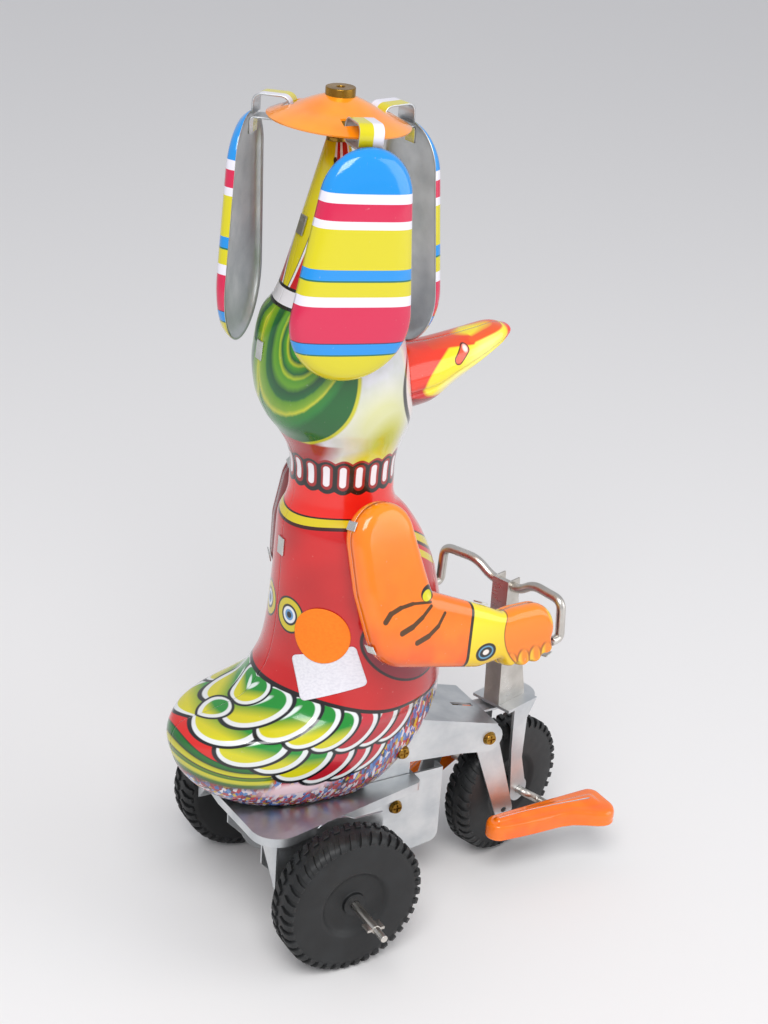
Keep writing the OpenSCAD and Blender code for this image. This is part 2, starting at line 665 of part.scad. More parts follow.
module right_rear_wheel() color([0.1, 0.1, 0.11])
    translate([0, wheel_w - track_half, axle_z]) rotate([90, 0, 0]) wheel(shaft_r + run_fit);

module left_rear_wheel() color([0.1, 0.1, 0.11])
    translate([0, track_half - wheel_w, axle_z]) rotate([-90, 0, 0]) wheel(sleeve_r);

module front_wheel() color([0.1, 0.1, 0.11]) steered()
    translate([0, front_wheel_w / 2, axle_z]) rotate([90, 0, 0]) wheel(wire_r, front_wheel_w);

module crank_axle() {
    function p(s, v) = [pin_uz(s)[0], s * v, pin_uz(s)[1]];
    color("silver") steered() wire([p(-1, pin_end), p(-1, crank_v), [0, -crank_v, axle_z], [0, crank_v, axle_z],
        p(1, crank_v), p(1, pin_end)], wire_r);
}

// ---------------------------------------------------------------- legs and feet
module leg_link(s) color("silver") side(s) translate([knee_x, 0, knee_z]) rotate([0, -leg_swing(s), 0])
    slab(-link_y, sheet) difference() {
        taper2d([0, 0], leg_top_w / 2, [0, -leg_len], leg_low_w / 2);
        circle(screw_r + run_fit);
        translate([0, -leg_len]) circle(0.8);
    }

// Outline of a foot seen from above, pin at the origin, outer side towards -Y
module foot_outline(inset) {
    toe = foot_len - foot_behind - foot_heel;
    out = foot_inner - foot_w;
    polygon(concat(arc([-foot_behind - foot_heel + 3.3, foot_inner - 3.3], 3.3 - inset, 90, 270, 8),
        [[2, foot_inner - 8 + inset], [toe - 6, out + inset]],
        arc([toe - 4, out + 4], 4 - inset, -80, 10, 4),
        arc([toe - 3, foot_inner - 3], 3 - inset, 0, 90, 4)));
}

// Hollow stamped foot on its crank pin
module foot(s) color("darkorange") steered()
    translate([pin_uz(s)[0], s * foot_v, pin_uz(s)[1]]) difference() {
        rotate([0, 0, foot_yaw]) rotate([0, -foot_pitch(s), 0]) side(s) difference() {
            translate([0, 0, 2.4 - foot_h]) linear_extrude(foot_h) foot_outline(0);
            translate([0, 0, 2.4 - foot_h - 1]) linear_extrude(foot_h - tin + 1) foot_outline(tin);
        }
        rod([0, 0], -10, 10, wire_r + run_fit);
    }

// ---------------------------------------------------------------- duck
// Point of a ring at angle a from the front, moved inwards by w
function ring_pt(r, a, w) = let (
        mid = (r[0] + r[1]) / 2, c = cos(a), s = sin(a),
        half = r[2] + (r[6] - r[2]) * max(0, c),
        hx = max((r[1] - r[0]) / 2 - w, 0.5), hy = max(half - w, 0.5))
    [mid + hx * c, hy * s, r[3] + r[4] * pow(max(0, c), 1.6) + r[5] * pow(max(0, -c), 3)];

// Half skin lofted through rows of [outer points, inner points], closed on the middle plane
module loft_skin(rows, flip) {
    m = len(rows[0][0]);
    loop = 2 * m;
    pts = [for (r = rows) each concat(r[0], [for (j = [m - 1 : -1 : 0]) r[1][j]])];
    last = (len(rows) - 1) * loop;
    faces = concat(
        [for (i = [0 : len(rows) - 2]) for (k = [0 : loop - 1]) let (
                a = i * loop + k, b = i * loop + (k + 1) % loop, c = a + loop, d = b + loop)
            each [[a, b, d], [a, d, c]]],
        [for (j = [0 : m - 2]) let (a = j, b = j + 1, c = loop - 2 - j, d = loop - 1 - j)
            each [[b, a, d], [b, d, c], [last + a, last + b, last + c], [last + a, last + c, last + d]]]);
    polyhedron(pts, [for (f = faces) flip ? f : [f[2], f[1], f[0]]]);
}

// One half of the body, open below, as a skin of even thickness; s is 1 left or -1 right
module half_skin(s) loft_skin([for (r = rings) [for (w = [0, tin]) [for (j = [0 : ring_steps])
    let (p = ring_pt(r, s * 180 * j / ring_steps, w)) [p[0], j % ring_steps == 0 ? 0 : p[1], p[2]]]]], s < 0);

// One half of the bill, open towards the head and drawn in to a pinhole at its tip
module bill_skin(s) loft_skin([for (i = [0 : len(bill) - 1]) let (b = bill[i]) [for (w = [0, tin]) let (
        wide = w > 0 && i == len(bill) - 1 ? 0.15 * b[3] : b[3] - w,
        high = w > 0 && i == len(bill) - 1 ? 0.15 * b[2] : b[2] - w)
    [for (j = [0 : 12]) [b[0], j % 12 == 0 ? 0 : s * wide * sin(15 * j), b[1] + high * cos(15 * j)]]]], s > 0);

// Body half with its half of the bill, cut for shoulder pin and hip screw
module body_shell(s) difference() {
    union() {
        half_skin(s);
        bill_skin(s);
    }
    shoulder_axis(s) rod([0, 0], s > 0 ? -shoulder_y : 0, s > 0 ? 0 : shoulder_y, pin_r);
    rod(hip, s > 0 ? 8 : -24, s > 0 ? 24 : -8, screw_r);
    // flat seat under the screw's head
    rod(hip, s > 0 ? hip_seat : -24, s > 0 ? 24 : -hip_seat, screw_head_r + 0.1);
}

module right_body_shell() color("firebrick") body_shell(-1);

module left_body_shell() color("firebrick") body_shell(1);

// Back or front profile of the body at height z: k is 0 back, 1 front
function profile_x(z, k) = let (i = max([for (j = [0 : len(rings) - 2]) if (rings[j][3] <= z) j]),
        a = rings[i], b = rings[i + 1]) a[k] + (b[k] - a[k]) * (z - a[3]) / (b[3] - a[3]);

// Folded tabs that close the seam: [height, 0 back or 1 front]
module body_seam_tabs() color("silver")
    for (t = [[180, 0], [152, 0], [102, 0], [80, 1], [180, 1]]) let (
            k = t[1], x = profile_x(t[0], k),
            lean = atan2(profile_x(t[0] + 2, k) - profile_x(t[0] - 2, k), 4))
        translate([x, 0, t[0]]) rotate([0, lean, 0])
            translate([k == 0 ? -tin : 0, -1.4, -2.2]) cube([tin, 2.8, 4.4]);

module hat_bushing() color("goldenrod") translate([spindle_x, 0, hat_z]) difference() {
    union() {
        cylinder(r = hat_top_r, h = 0.9);
        translate([0, 0, -2.4]) cylinder(r = hat_top_r - tin - 0.3, h = 2.4 + eps);
    }
    translate([0, 0, -3]) cylinder(r = spindle_r + run_fit, h = 5);
}

// ---------------------------------------------------------------- arms
module arm_outline(inset) chain([for (c = arm_line) [c[0], c[1], c[2] - inset]]);

// Pivot of an arm, with Y along its pin
module shoulder_axis(s) translate([shoulder_x, s * shoulder_y, shoulder_z])
    rotate([0, 0, -s * arm_yaw(s)]) rotate([s * arm_tilt(s), 0, 0]) children();

module arm_place(s) shoulder_axis(s) rotate([0, arm_drop(s), 0]) children();

// Stamped half of an arm: face is -1 for the half on the right, 1 for the half on the left
module arm_half(s, face) color("darkorange") difference() {
    arm_place(s) difference() {
        slab(face < 0 ? -arm_t / 2 : 0, arm_t / 2) arm_outline(0);
        slab(face < 0 ? -arm_t / 2 + tin : -1, arm_t / 2 - tin + 1) arm_outline(tin);
        rod([0, 0], -arm_t, arm_t, pin_r + run_fit);
    }
    // room for the end of the handlebar, all along the steering
    arm_place(s) for (b = hand_slots(s)) translate(b[0]) cube(b[1] - b[0]);
}

module arm_tabs(s) color("silver") arm_place(s)
    for (t = [[0, 150], [2, 200], [3, 68], [5, -70]]) let (c = arm_line[t[0]])
        translate([c[0], 0, c[1]]) rotate([0, -t[1], 0]) translate([c[2] + 0.06, -1.6, -1.1]) cube([0.3, 3.2, 2.2]);

module right_arm_outer() arm_half(-1, -1);
module right_arm_inner() arm_half(-1, 1);
module left_arm_outer() arm_half(1, 1);
module left_arm_inner() arm_half(1, -1);
module arm_seam_tabs_right() arm_tabs(-1);
module arm_seam_tabs_left() arm_tabs(1);

// Headed pins from inside the body through both faces of each arm
module shoulder_pins() color("silver") for (s = [-1, 1]) shoulder_axis(s) mirror([0, s > 0 ? 1 : 0, 0]) {
    rod([0, 0], -arm_t / 2 - 0.4, 11, pin_r);
    rod([0, 0], -arm_t / 2 - 1, -arm_t / 2 - 0.2, pin_r + 0.9);
    rod([0, 0], arm_t / 2 + 0.2, arm_t / 2 + 1, pin_r + 0.7);
}

// ---------------------------------------------------------------- whirligig
module on_hub() translate([spindle_x, 0, disc_base]) rotate([0, disc_tilt, 0]) children();

module propeller_shaft() color("silver")
    translate([spindle_x, 0, spindle_low]) cylinder(r = spindle_r, h = total_z - 0.6 - spindle_low);

// Domed disc with a slot inside the rim for each flap
module whirligig_disc() color("orange") difference() {
    on_hub() difference() {
        rotate_extrude($fn = 96) polygon(concat(arc([0, disc_rise - dome_r], dome_r, 90 - disc_cap, 90, 12),
            arc([0, disc_rise - dome_r], dome_r - disc_sheet, 90, 90 - disc_cap, 12)));
        for (a = flap_az) rotate([0, 0, a]) translate([slot_in, -slot_w / 2, 0])
            cube([slot_out - slot_in, slot_w, 2 * disc_rise]);
    }
    translate([spindle_x, 0, disc_base]) cylinder(r = spindle_r, h = 2 * disc_rise);
}

// Hub nut above the disc and collar below it
module whirligig_hub() color("goldenrod") difference() {
    union() {
        difference() {
            translate([spindle_x, 0, disc_base + disc_rise - 0.6]) cylinder(r = hub_r, h = hub_h + 0.6);
            on_hub() translate([0, 0, disc_rise - dome_r]) sphere(r = dome_r, $fn = 128);
        }
        translate([spindle_x, 0, collar_z]) cylinder(r = 1.9, h = disc_base + disc_rise - disc_sheet - 0.2
            - collar_z);
    }
    translate([spindle_x, 0, hat_z]) cylinder(r = spindle_r, h = total_z);
}

// Egg outline of a flap hanging from its hinge, as [across, up], shrunk by k towards its middle
function flap_edge(k) = let (
        r1 = flap_w / 2, r2 = flap_top_w / 2,
        c1 = [0, -flap_drop - flap_len + r1], c2 = [0, -flap_drop - r2],
        a = acos((r1 - r2) / norm(c2 - c1)),
        mid = [0, -flap_drop - flap_len / 2],
        pts = concat(arc(c1, r1, 90 + a, 450 - a, 18), arc(c2, r2, 90 - a, 90 + a, 12)))
    [for (p = pts) mid + (p - mid) * k];

// Dished tin leaf, hollow towards the middle
module leaf() {
    steps = [[1, 0], [0.97, 0.36], [0.9, 0.66], [0.78, 0.86], [0.55, 0.97], [0.25, 1]];
    n = len(steps);
    m = len(flap_edge(1));
    thin = 1 - 2 * tin / flap_w;
    pts = concat(
        [for (q = steps) for (p = flap_edge(q[0])) [flap_x + q[1] * flap_d, p[0], p[1]]],
        [for (q = steps) for (p = flap_edge(q[0] * thin)) [flap_x + max(q[1] * flap_d - tin, 0), p[0], p[1]]]);
    o = n * m;
    polyhedron(pts, concat(
        [for (i = [0 : n - 2]) for (j = [0 : m - 1]) let (k = (j + 1) % m) each [
            [i * m + k, i * m + j, (i + 1) * m + k], [(i + 1) * m + k, i * m + j, (i + 1) * m + j],
            [o + i * m + j, o + i * m + k, o + (i + 1) * m + j],
            [o + (i + 1) * m + j, o + i * m + k, o + (i + 1) * m + k]]],
        [for (j = [0 : m - 1]) let (k = (j + 1) % m) each [[j, k, o + j], [o + j, k, o + k]]],
        [[for (j = [m - 1 : -1 : 0]) (n - 1) * m + j], [for (j = [0 : m - 1]) o + (n - 1) * m + j]]));
}

// Strap folded into a long loop through the slot of the disc, with its tongue on the leaf
module strap() slab(-strap_w / 2, strap_w) {
    difference() {
        translate([-loop_in - loop_t, -loop_half - loop_t])
            square([loop_in + loop_out + 2 * loop_t, 2 * (loop_half + loop_t)]);
        translate([-loop_in, -loop_half]) square([loop_in + loop_out, 2 * loop_half]);
    }
    polygon([[loop_out, -0.5], [flap_x + 0.2, -0.5], [flap_x + 0.2, -flap_drop - 5],
        [flap_x - loop_t, -flap_drop - 5], [flap_x - loop_t, -1.4], [loop_out, -1.4]]);
}

module flap(a) color("yellow") on_hub() rotate([0, 0, a]) translate([hinge_r, 0, hinge_z])
    rotate([0, -atan(tan(disc_tilt) * cos(a)), 0]) {
        leaf();
        strap();
    }

module flap_1() flap(flap_az[0]);
module flap_2() flap(flap_az[1]);
module flap_3() flap(flap_az[2]);

module right_side_plate() side_plate(-1, shaft_r + run_fit);
module left_side_plate() side_plate(1, sleeve_r + run_fit);
module right_foot() foot(-1);
module left_foot() foot(1);
module right_leg_link() leg_link(-1);
module left_leg_link() leg_link(1);

right_body_shell();
left_body_shell();
body_seam_tabs();
hat_bushing();
platform();
right_side_plate();
left_side_plate();
plate_pillars();
plate_screws();
front_frame();
hip_screws();
knee_screws();
spindle_bracket();
mainspring();
winding_shaft();
ratchet_wheel();
great_wheel();
click();
drive_sleeve();
left_rear_wheel();
right_rear_wheel();
second_arbor();
second_pinion();
contrate_wheel();
propeller_shaft();
spindle_pinion();
whirligig_disc();
whirligig_hub();
flap_1();
flap_2();
flap_3();
fork();
king_pin();
king_pin_washer();
stem();
handlebar();
front_wheel();
crank_axle();
right_foot();
left_foot();
right_leg_link();
left_leg_link();
right_arm_outer();
right_arm_inner();
left_arm_outer();
left_arm_inner();
arm_seam_tabs_right();
arm_seam_tabs_left();
shoulder_pins();
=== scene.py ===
# %% [markdown]
# # A wind-up tin duck on a tricycle
# The toy is pressed from printed tinplate: two body halves, two-part arms and three flaps that fly out
# from the hat as it spins. The frame below comes from the engineering model. Every piece built here is
# placed in that frame by sizes in millimetres that follow the model's, and rides on one of its bodies.

# %% Load the frame
import json
import math
import bmesh
import bpy
from mathutils import Matrix, Vector
from mathutils.bvhtree import BVHTree

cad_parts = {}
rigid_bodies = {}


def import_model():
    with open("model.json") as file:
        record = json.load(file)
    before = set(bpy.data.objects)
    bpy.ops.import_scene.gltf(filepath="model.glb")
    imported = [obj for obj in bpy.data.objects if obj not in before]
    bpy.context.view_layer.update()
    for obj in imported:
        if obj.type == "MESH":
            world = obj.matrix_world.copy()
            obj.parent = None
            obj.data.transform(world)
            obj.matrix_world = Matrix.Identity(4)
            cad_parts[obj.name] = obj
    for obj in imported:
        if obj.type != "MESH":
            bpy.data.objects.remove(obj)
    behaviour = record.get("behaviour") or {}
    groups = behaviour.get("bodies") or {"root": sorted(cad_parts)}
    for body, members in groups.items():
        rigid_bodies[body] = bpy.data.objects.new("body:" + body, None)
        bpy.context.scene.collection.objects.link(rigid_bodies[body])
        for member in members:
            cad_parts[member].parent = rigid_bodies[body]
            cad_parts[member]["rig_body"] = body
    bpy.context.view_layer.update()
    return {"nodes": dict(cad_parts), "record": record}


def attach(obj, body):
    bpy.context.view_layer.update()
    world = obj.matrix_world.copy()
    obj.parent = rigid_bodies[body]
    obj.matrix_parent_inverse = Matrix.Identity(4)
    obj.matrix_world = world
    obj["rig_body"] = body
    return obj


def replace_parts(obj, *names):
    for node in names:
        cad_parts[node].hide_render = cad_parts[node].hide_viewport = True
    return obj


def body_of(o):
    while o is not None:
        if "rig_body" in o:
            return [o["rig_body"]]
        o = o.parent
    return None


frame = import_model()
nodes = frame["nodes"]

# %% [markdown]
# The toy's sizes are written in millimetres, as a tin-toy maker would, and turned to metres when a mesh is
# made. Its colours are written as sRGB hex values, as a printer would, and turned to linear light.

# %% Units and colours
MM = 0.001


def ink(code):
    """The linear colour of an sRGB hex code."""
    parts = [int(code[i:i + 2], 16) / 255 for i in (1, 3, 5)]
    return tuple(c / 12.92 if c <= 0.04045 else ((c + 0.055) / 1.055) ** 2.4 for c in parts) + (1.0,)


def turned(angle, axis):
    return Matrix.Rotation(math.radians(angle), 4, axis)


print("signal red in linear light:", [round(c, 3) for c in ink("#C81418")])

# %% [markdown]
# A material is a tree of nodes. One function adds a node: it makes it, sets its settings, and fills or
# links its inputs. Everything printed on the tin is built with it, one layer of ink over another, as the
# sheet went through the press once for each ink.

# %% One function that adds a node
def add(tree, kind, inputs=(), out=0, **settings):
    """Adds a node, sets its settings, fills or links its inputs, and gives one of its outputs."""
    made = tree.nodes.new("ShaderNode" + kind)
    for name, value in settings.items():
        setattr(made, name, value)
    for name, value in dict(inputs).items():
        if isinstance(value, bpy.types.NodeSocket):
            tree.links.new(value, made.inputs[name])
        else:
            made.inputs[name].default_value = value
    return made.outputs[out]


def blend(tree, share, low, high):
    """One colour over another; share is 0 for the lower and 1 for the upper."""
    return add(tree, "Mix", {0: share, 6: low, 7: high}, out=2, data_type="RGBA")


def ramp(tree, value, stops, low, high, steps=False):
    """Inks along a value, from low to high, at the places given in the value's own unit."""
    share = add(tree, "MapRange", {0: value, 1: low, 2: high})
    made = add(tree, "ValToRGB", {0: share})
    bar = made.node.color_ramp
    bar.interpolation = "CONSTANT" if steps else "LINEAR"
    for number, (at, code) in enumerate(stops):
        place = min(max((at - low) / (high - low), 0), 1)
        stop = bar.elements[number] if number < 2 else bar.elements.new(place)
        stop.position = place
        stop.color = ink(code)
    return made


def new_material(name, rough, metal=0.0, coat=0.0, ior=None):
    """An empty material with its shader; numbers that are even all over go straight on the sockets."""
    made = bpy.data.materials.new(name)
    made.use_nodes = True
    shader = made.node_tree.nodes["Principled BSDF"]
    shader.inputs["Roughness"].default_value = rough
    shader.inputs["Metallic"].default_value = metal
    shader.inputs["Coat Weight"].default_value = coat
    shader.inputs["Coat Roughness"].default_value = 0.06
    if ior:
        shader.inputs["IOR"].default_value = ior
    return made, made.node_tree, shader


def feed(shader, name, value):
    """Links a value to one of the shader's inputs."""
    shader.id_data.links.new(value, shader.inputs[name])


def clouded(tree, under, code, cloud, low, high, most=1.0):
    """An ink over another where a cloudy noise is strong: none at low, most of it at high."""
    share = add(tree, "MapRange", {0: cloud, 1: low, 2: high, 4: most})
    return blend(tree, share, under, ink(code))


def grain(tree, size, detail=3.0, stretch=(1, 1, 1), seed=0.0):
    """Cloudy noise with features of one size in mm, longer along the directions that stretch names."""
    place = add(tree, "TexCoord", out=3)
    scaled = add(tree, "Mapping", {0: place, 1: (seed, seed, seed), 3: [1 / s for s in stretch]})
    return add(tree, "TexNoise", {"Vector": scaled, "Scale": 1 / (size * MM), "Detail": detail})


print("the node function is ready")

# %% [markdown]
# The bare metals come first. Tinplate is mild steel with a skin of tin: satin, a little cloudy from the
# rolling mill, with faint scratches from handling. The noise changes roughness more than colour, because
# that is what the eye reads as worn metal.

# %% Bare metals
def metal(name, code, dark, rough, spread, line=(6, 1, 1), bumps=0.02):
    """A metal: its colour, a darker one in the tarnish, its roughness and how much that varies."""
    made, tree, shader = new_material(name, rough, metal=1.0)
    clouds = grain(tree, 7.0, 4.0)
    rub = grain(tree, 0.6, 2.0, stretch=line, seed=3.0)
    feed(shader, "Base Color", clouded(tree, ink(code), dark, clouds, 0.35, 0.7))
    wear = add(tree, "Math", {0: clouds, 1: rub}, operation="ADD")
    feed(shader, "Roughness",
         add(tree, "MapRange", {0: wear, 1: 0.7, 2: 1.3, 3: rough - spread, 4: rough + spread}))
    feed(shader, "Normal", add(tree, "Bump", {"Strength": bumps * 4, "Distance": 0.05 * MM, "Height": rub}))
    return made


SATIN_TIN = metal("satin tinplate", "#DCDEDF", "#C6CACD", 0.42, 0.07)
TABS = metal("bare folded tinplate", "#E0E1DE", "#C0C3C0", 0.3, 0.08, bumps=0.01)
BRIGHT = metal("bright drawn steel", "#D8D4CE", "#B8B3AB", 0.33, 0.08, line=(1, 8, 1), bumps=0.01)
SPRING = metal("blued spring steel", "#3A4658", "#22262E", 0.32, 0.06)
BRASS = metal("turned brass", "#B58B3C", "#7C5A20", 0.28, 0.08, bumps=0.01)
print("metals:", [m.name for m in (SATIN_TIN, TABS, BRIGHT, SPRING, BRASS)])

# %% [markdown]
# Enamel is sprayed on and stoved. It is smooth and glossy, with a slight orange peel in its skin and an
# uneven depth of colour where it ran thin. The disc on the hat and the feet are plain orange enamel.

# %% Enamels and black plastic
def enamel(name, code, deep):
    """A stoved enamel; its shade drifts over some 9 mm and its skin has a faint orange peel."""
    made, tree, shader = new_material(name, 0.16, coat=0.6, ior=1.5)
    feed(shader, "Base Color", clouded(tree, ink(code), deep, grain(tree, 9.0, 2.0), 0.4, 0.75))
    peel = add(tree, "Bump", {"Strength": 0.06, "Distance": 0.05 * MM, "Height": grain(tree, 0.8, 1.0)})
    feed(shader, "Normal", peel)
    return made


DISC_ENAMEL = enamel("orange stoved enamel", "#FF9A1E", "#FF8400")
FOOT_ENAMEL = enamel("deep orange stoved enamel", "#FF7A0A", "#FA6400")

# moulded polyethylene: nearly black, dull, with the fine spark-eroded texture of the mould
TYRE, tree, shader = new_material("black moulded plastic", 0.5, ior=1.5)
feed(shader, "Base Color", clouded(tree, ink("#151617"), "#232527", grain(tree, 4.0, 4.0), 0.45, 0.8, 0.7))
feed(shader, "Roughness", add(tree, "MapRange", {0: grain(tree, 2.0), 3: 0.4, 4: 0.62}))
feed(shader, "Normal",
     add(tree, "Bump", {"Strength": 0.25, "Distance": 0.06 * MM, "Height": grain(tree, 0.35)}))
print("enamels and plastic ready")

# %% [markdown]
# The print is drawn with masks: a value that is 1 inside a shape and 0 outside, with an edge a sixth of a
# millimetre wide. A printing plate knows only the flat sheet, so most shapes on the body are drawn in side
# view, forward and up, and are the same on both halves. The strokes of the head and the scales of the tail
# bend round the form, and are drawn across a view from the rear quarter.

# %% Masks for drawing on tin
EDGE = 0.16
RIGHT_THROUGH = 500  # so long across the toy that the side never matters


def inside(tree, distance, limit, edge=EDGE):
    """1 where a distance in mm is under a limit, which may itself be a value."""
    under = add(tree, "Math", {0: limit, 1: distance}, operation="SUBTRACT")
    return add(tree, "Math", {0: under, 1: 1 / edge, 2: 0.5}, operation="MULTIPLY_ADD", use_clamp=True)


def across_sheet(pair, depth):
    """A forward-and-up pair as a vector; a full vector stays as it is."""
    return (pair[0], depth, pair[1]) if len(pair) == 2 else pair


def oval(tree, place, centre, size, lean=0.0):
    """How far out from an oval's centre a point is: 1 on its rim. Lean is in degrees, forward end up."""
    local = add(tree, "Mapping", {0: place, 1: across_sheet(centre, 0), 2: (0, -math.radians(lean), 0),
                                  3: across_sheet(size, RIGHT_THROUGH)}, vector_type="TEXTURE")
    return add(tree, "VectorMath", {0: local}, out=1, operation="LENGTH"), local


def patch(tree, under, code, place, centre, size, lean=0.0, soft=EDGE):
    """An oval of ink over what is under it; soft is the width of its edge in mm."""
    away, _ = oval(tree, place, centre, size, lean)
    return blend(tree, inside(tree, away, 1.0, soft / min(size)), under, ink(code))


def stroke(tree, under, code, place, start, end, thick, soft=EDGE):
    """A straight stroke of a brush between two points, with round ends."""
    start, end = Vector(across_sheet(start, 0)), Vector(across_sheet(end, 0))
    along = end - start
    rest = add(tree, "VectorMath", {0: place, 1: start}, operation="SUBTRACT")
    dot = add(tree, "VectorMath", {0: rest, 1: along}, out=1, operation="DOT_PRODUCT")
    share = add(tree, "Math", {0: dot, 1: along.length_squared}, operation="DIVIDE", use_clamp=True)
    foot = add(tree, "VectorMath", {0: along, 3: share}, operation="SCALE")
    away = add(tree, "VectorMath", {0: rest, 1: foot}, out=1, operation="DISTANCE")
    return blend(tree, inside(tree, away, thick / 2, soft), under, ink(code))


def both(tree, one, two):
    return add(tree, "Math", {0: one, 1: two}, operation="MULTIPLY")


def sheet_place(tree, keep=(1, 0, 1)):
    """Place on the flat sheet in mm: forward and up, with the side left out unless keep says otherwise."""
    place = add(tree, "TexCoord", out=3)
    return add(tree, "VectorMath", {0: place, 1: [k / MM for k in keep]}, operation="MULTIPLY")


def gloss_print(shader, tree, colour):
    """Lacquered print: the ink's colour, a tiny ripple in the lacquer and fine rubbed specks."""
    feed(shader, "Base Color", clouded(tree, colour, "#E8DDD0", grain(tree, 1.1, 5.0), 0.7, 0.76, 0.16))
    ripple = add(tree, "Bump", {"Strength": 0.12, "Distance": 0.12 * MM, "Height": grain(tree, 6.0, 1.0)})
    feed(shader, "Normal", ripple)


print("masks ready")

# %% [markdown]
# Now the print of the body. On the real toy the plates give these things: a green drake's head with paler
# strokes, a white cheek, a striped hat, a collar of white capsules on black, a red jacket with yellow
# piping and round buttons, and a tail of scales that runs into a speckled belly.
#
# The head's green comes first: strokes nested in one another, each paler towards its outer edge, with a
# yellow line where the green meets the cheek.

# %% Print: head and cheek
PRINT_BODY, tree, shader = new_material("lithographed tinplate, body", 0.2, coat=0.5, ior=1.5)
flat = sheet_place(tree)
solid_place = sheet_place(tree, (1, 1, 1))
mirrored = add(tree, "VectorMath", {0: solid_place}, operation="ABSOLUTE")
parts = add(tree, "SeparateXYZ", {0: solid_place}).node.outputs
side = add(tree, "Math", {0: parts[1]}, operation="ABSOLUTE")
forward, height = parts[0], parts[2]

# the curved strokes and scales are drawn across a view from the rear quarter
quarter = add(tree, "CombineXYZ", {0: forward, 1: side, 2: height})
over = add(tree, "VectorMath", {0: quarter, 1: (0.8595, 0.5111, 0)}, out=1, operation="DOT_PRODUCT")
up_view = add(tree, "VectorMath", {0: quarter, 1: (0.2172, -0.3652, 0.9052)}, out=1, operation="DOT_PRODUCT")
quarter = add(tree, "CombineXYZ", {0: over, 2: up_view})

HEAD_ARC = (-21, 0, 148)  # middle of the arc between the green and the cheek
out_from_arc = add(tree, "VectorMath", {0: flat, 1: HEAD_ARC}, out=1, operation="DISTANCE")
sweep, _ = oval(tree, quarter, (-2.1, 137.5), (12.6 / 23, 22.5 / 23), -18)
fibres = grain(tree, 1.4, 3.0, stretch=(1, 1, 5), seed=2.0)
sweep = add(tree, "Math", {0: add(tree, "MapRange", {0: fibres, 3: -0.35, 4: 0.35}), 1: sweep},
            operation="ADD")
GREEN_STROKES = [(5.4, "#2F9A22"), (6.3, "#0B5A2A"), (7.1, "#B9C21E"), (7.6, "#4E9A18"), (9.0, "#0D5E2A"),
                 (10.0, "#A9BE1C"), (10.5, "#4C8F14"), (11.8, "#5E9A16"), (13.2, "#0A4F26"),
                 (14.9, "#0F6128"), (15.5, "#5A9014"), (17.2, "#7DA51A"), (18.0, "#C3C62A"),
                 (18.7, "#2C7F24"), (20.4, "#1B7A2C"), (22.0, "#0E5F24"), (23.0, "#0E5F24")]
feathers = ramp(tree, sweep, GREEN_STROKES, 4.0, 24.0)

cheek = clouded(tree, ink("#E4E2EA"), "#D2D4CF", grain(tree, 5.0, 2.0), 0.35, 0.7)
for row in (("#D6D6A0", flat, (9, 137), (9, 8), 20, 7), ("#BFBE2A", flat, (10.5, 131), (4.5, 6), -20, 4),
            ("#D8CC3A", flat, (9, 127), (7, 2.4), 5, 2.5), ("#A81A1C", flat, (-8, 128), (5.2, 5), 30, 1.6)):
    cheek = patch(tree, cheek, *row)
head = blend(tree, inside(tree, out_from_arc, 23.1, 0.5), cheek, ink("#C9C42A"))
head = blend(tree, inside(tree, out_from_arc, 22.2, 0.3), head, feathers)
low_nape = inside(tree, height, 131.0, 0.5)
head = blend(tree, both(tree, low_nape, inside(tree, forward, -1.0, 4.0)), head, ink("#A81A1C"))

# the eye is a plain round one, as on any tin duck: a white oval, a ring and a pupil with a glint
for code, size, shift in (("#15130F", (3.5, 4.6), 0), ("#F2F0EA", (3.0, 4.1), 0),
                          ("#1C6FB8", (2.0, 2.9), 0.5), ("#0E0D0C", (1.3, 2.1), 0.6),
                          ("#FFFFFF", (0.5, 0.7), 1.0)):
    head = patch(tree, head, code, flat, (4.5 + shift, 156 + shift), size, -8)

# round the root of the bill: a white ring in a black one
ring, _ = oval(tree, mirrored, (21, 0, 141.4), (RIGHT_THROUGH, 9.2, 8.2))
at_front = inside(tree, 11.5, forward, 1.0)
for code, limit in (("#15110F", 1.5), ("#E9DAD6", 1.38), ("#D98E86", 1.12), ("#15110F", 1.06)):
    head = blend(tree, both(tree, at_front, inside(tree, ring, limit, 0.03)), head, ink(code))
print("head drawn with", len(tree.nodes), "nodes so far")

# %% [markdown]
# The hat is a cone, so its stripes are drawn by angle round the spindle and run to its top. Low down there
# is a white band between two black lines.

# %% Print: hat
from_axis = add(tree, "Math", {0: forward, 1: 2.0}, operation="SUBTRACT")
round_hat = add(tree, "Math", {0: side, 1: from_axis}, operation="ARCTAN2")
round_hat = add(tree, "Math", {0: round_hat, 1: 180 / math.pi}, operation="MULTIPLY")
STRIPES = [(0, "#C8141C"), (12, "#E9E6EA"), (20, "#DACB12"), (62, "#E9E6EA"), (72, "#B9101C"),
           (96, "#E9E6EA"), (106, "#B9101C"), (118, "#E9E6EA"), (126, "#DACB12"), (180, "#DACB12")]
hat = ramp(tree, round_hat, STRIPES, -1.0, 181.0, steps=True)
# dark scalloped leaf low on the stripes, drawn by angle and height
leaf_place = add(tree, "CombineXYZ", {0: round_hat, 2: height})
teeth = add(tree, "Math", {0: add(tree, "Math", {0: height, 1: 2.6}, operation="MULTIPLY")},
            operation="SINE")
leaf_away, _ = oval(tree, leaf_place, (124, 186), (17, 9))
leaf_away = add(tree, "Math", {0: teeth, 1: 0.07, 2: leaf_away}, operation="MULTIPLY_ADD")
hat = blend(tree, inside(tree, leaf_away, 1.0, 0.05), hat, ink("#101318"))
hat = blend(tree, inside(tree, leaf_away, 0.62, 0.05), hat, ink("#1C5FA8"))
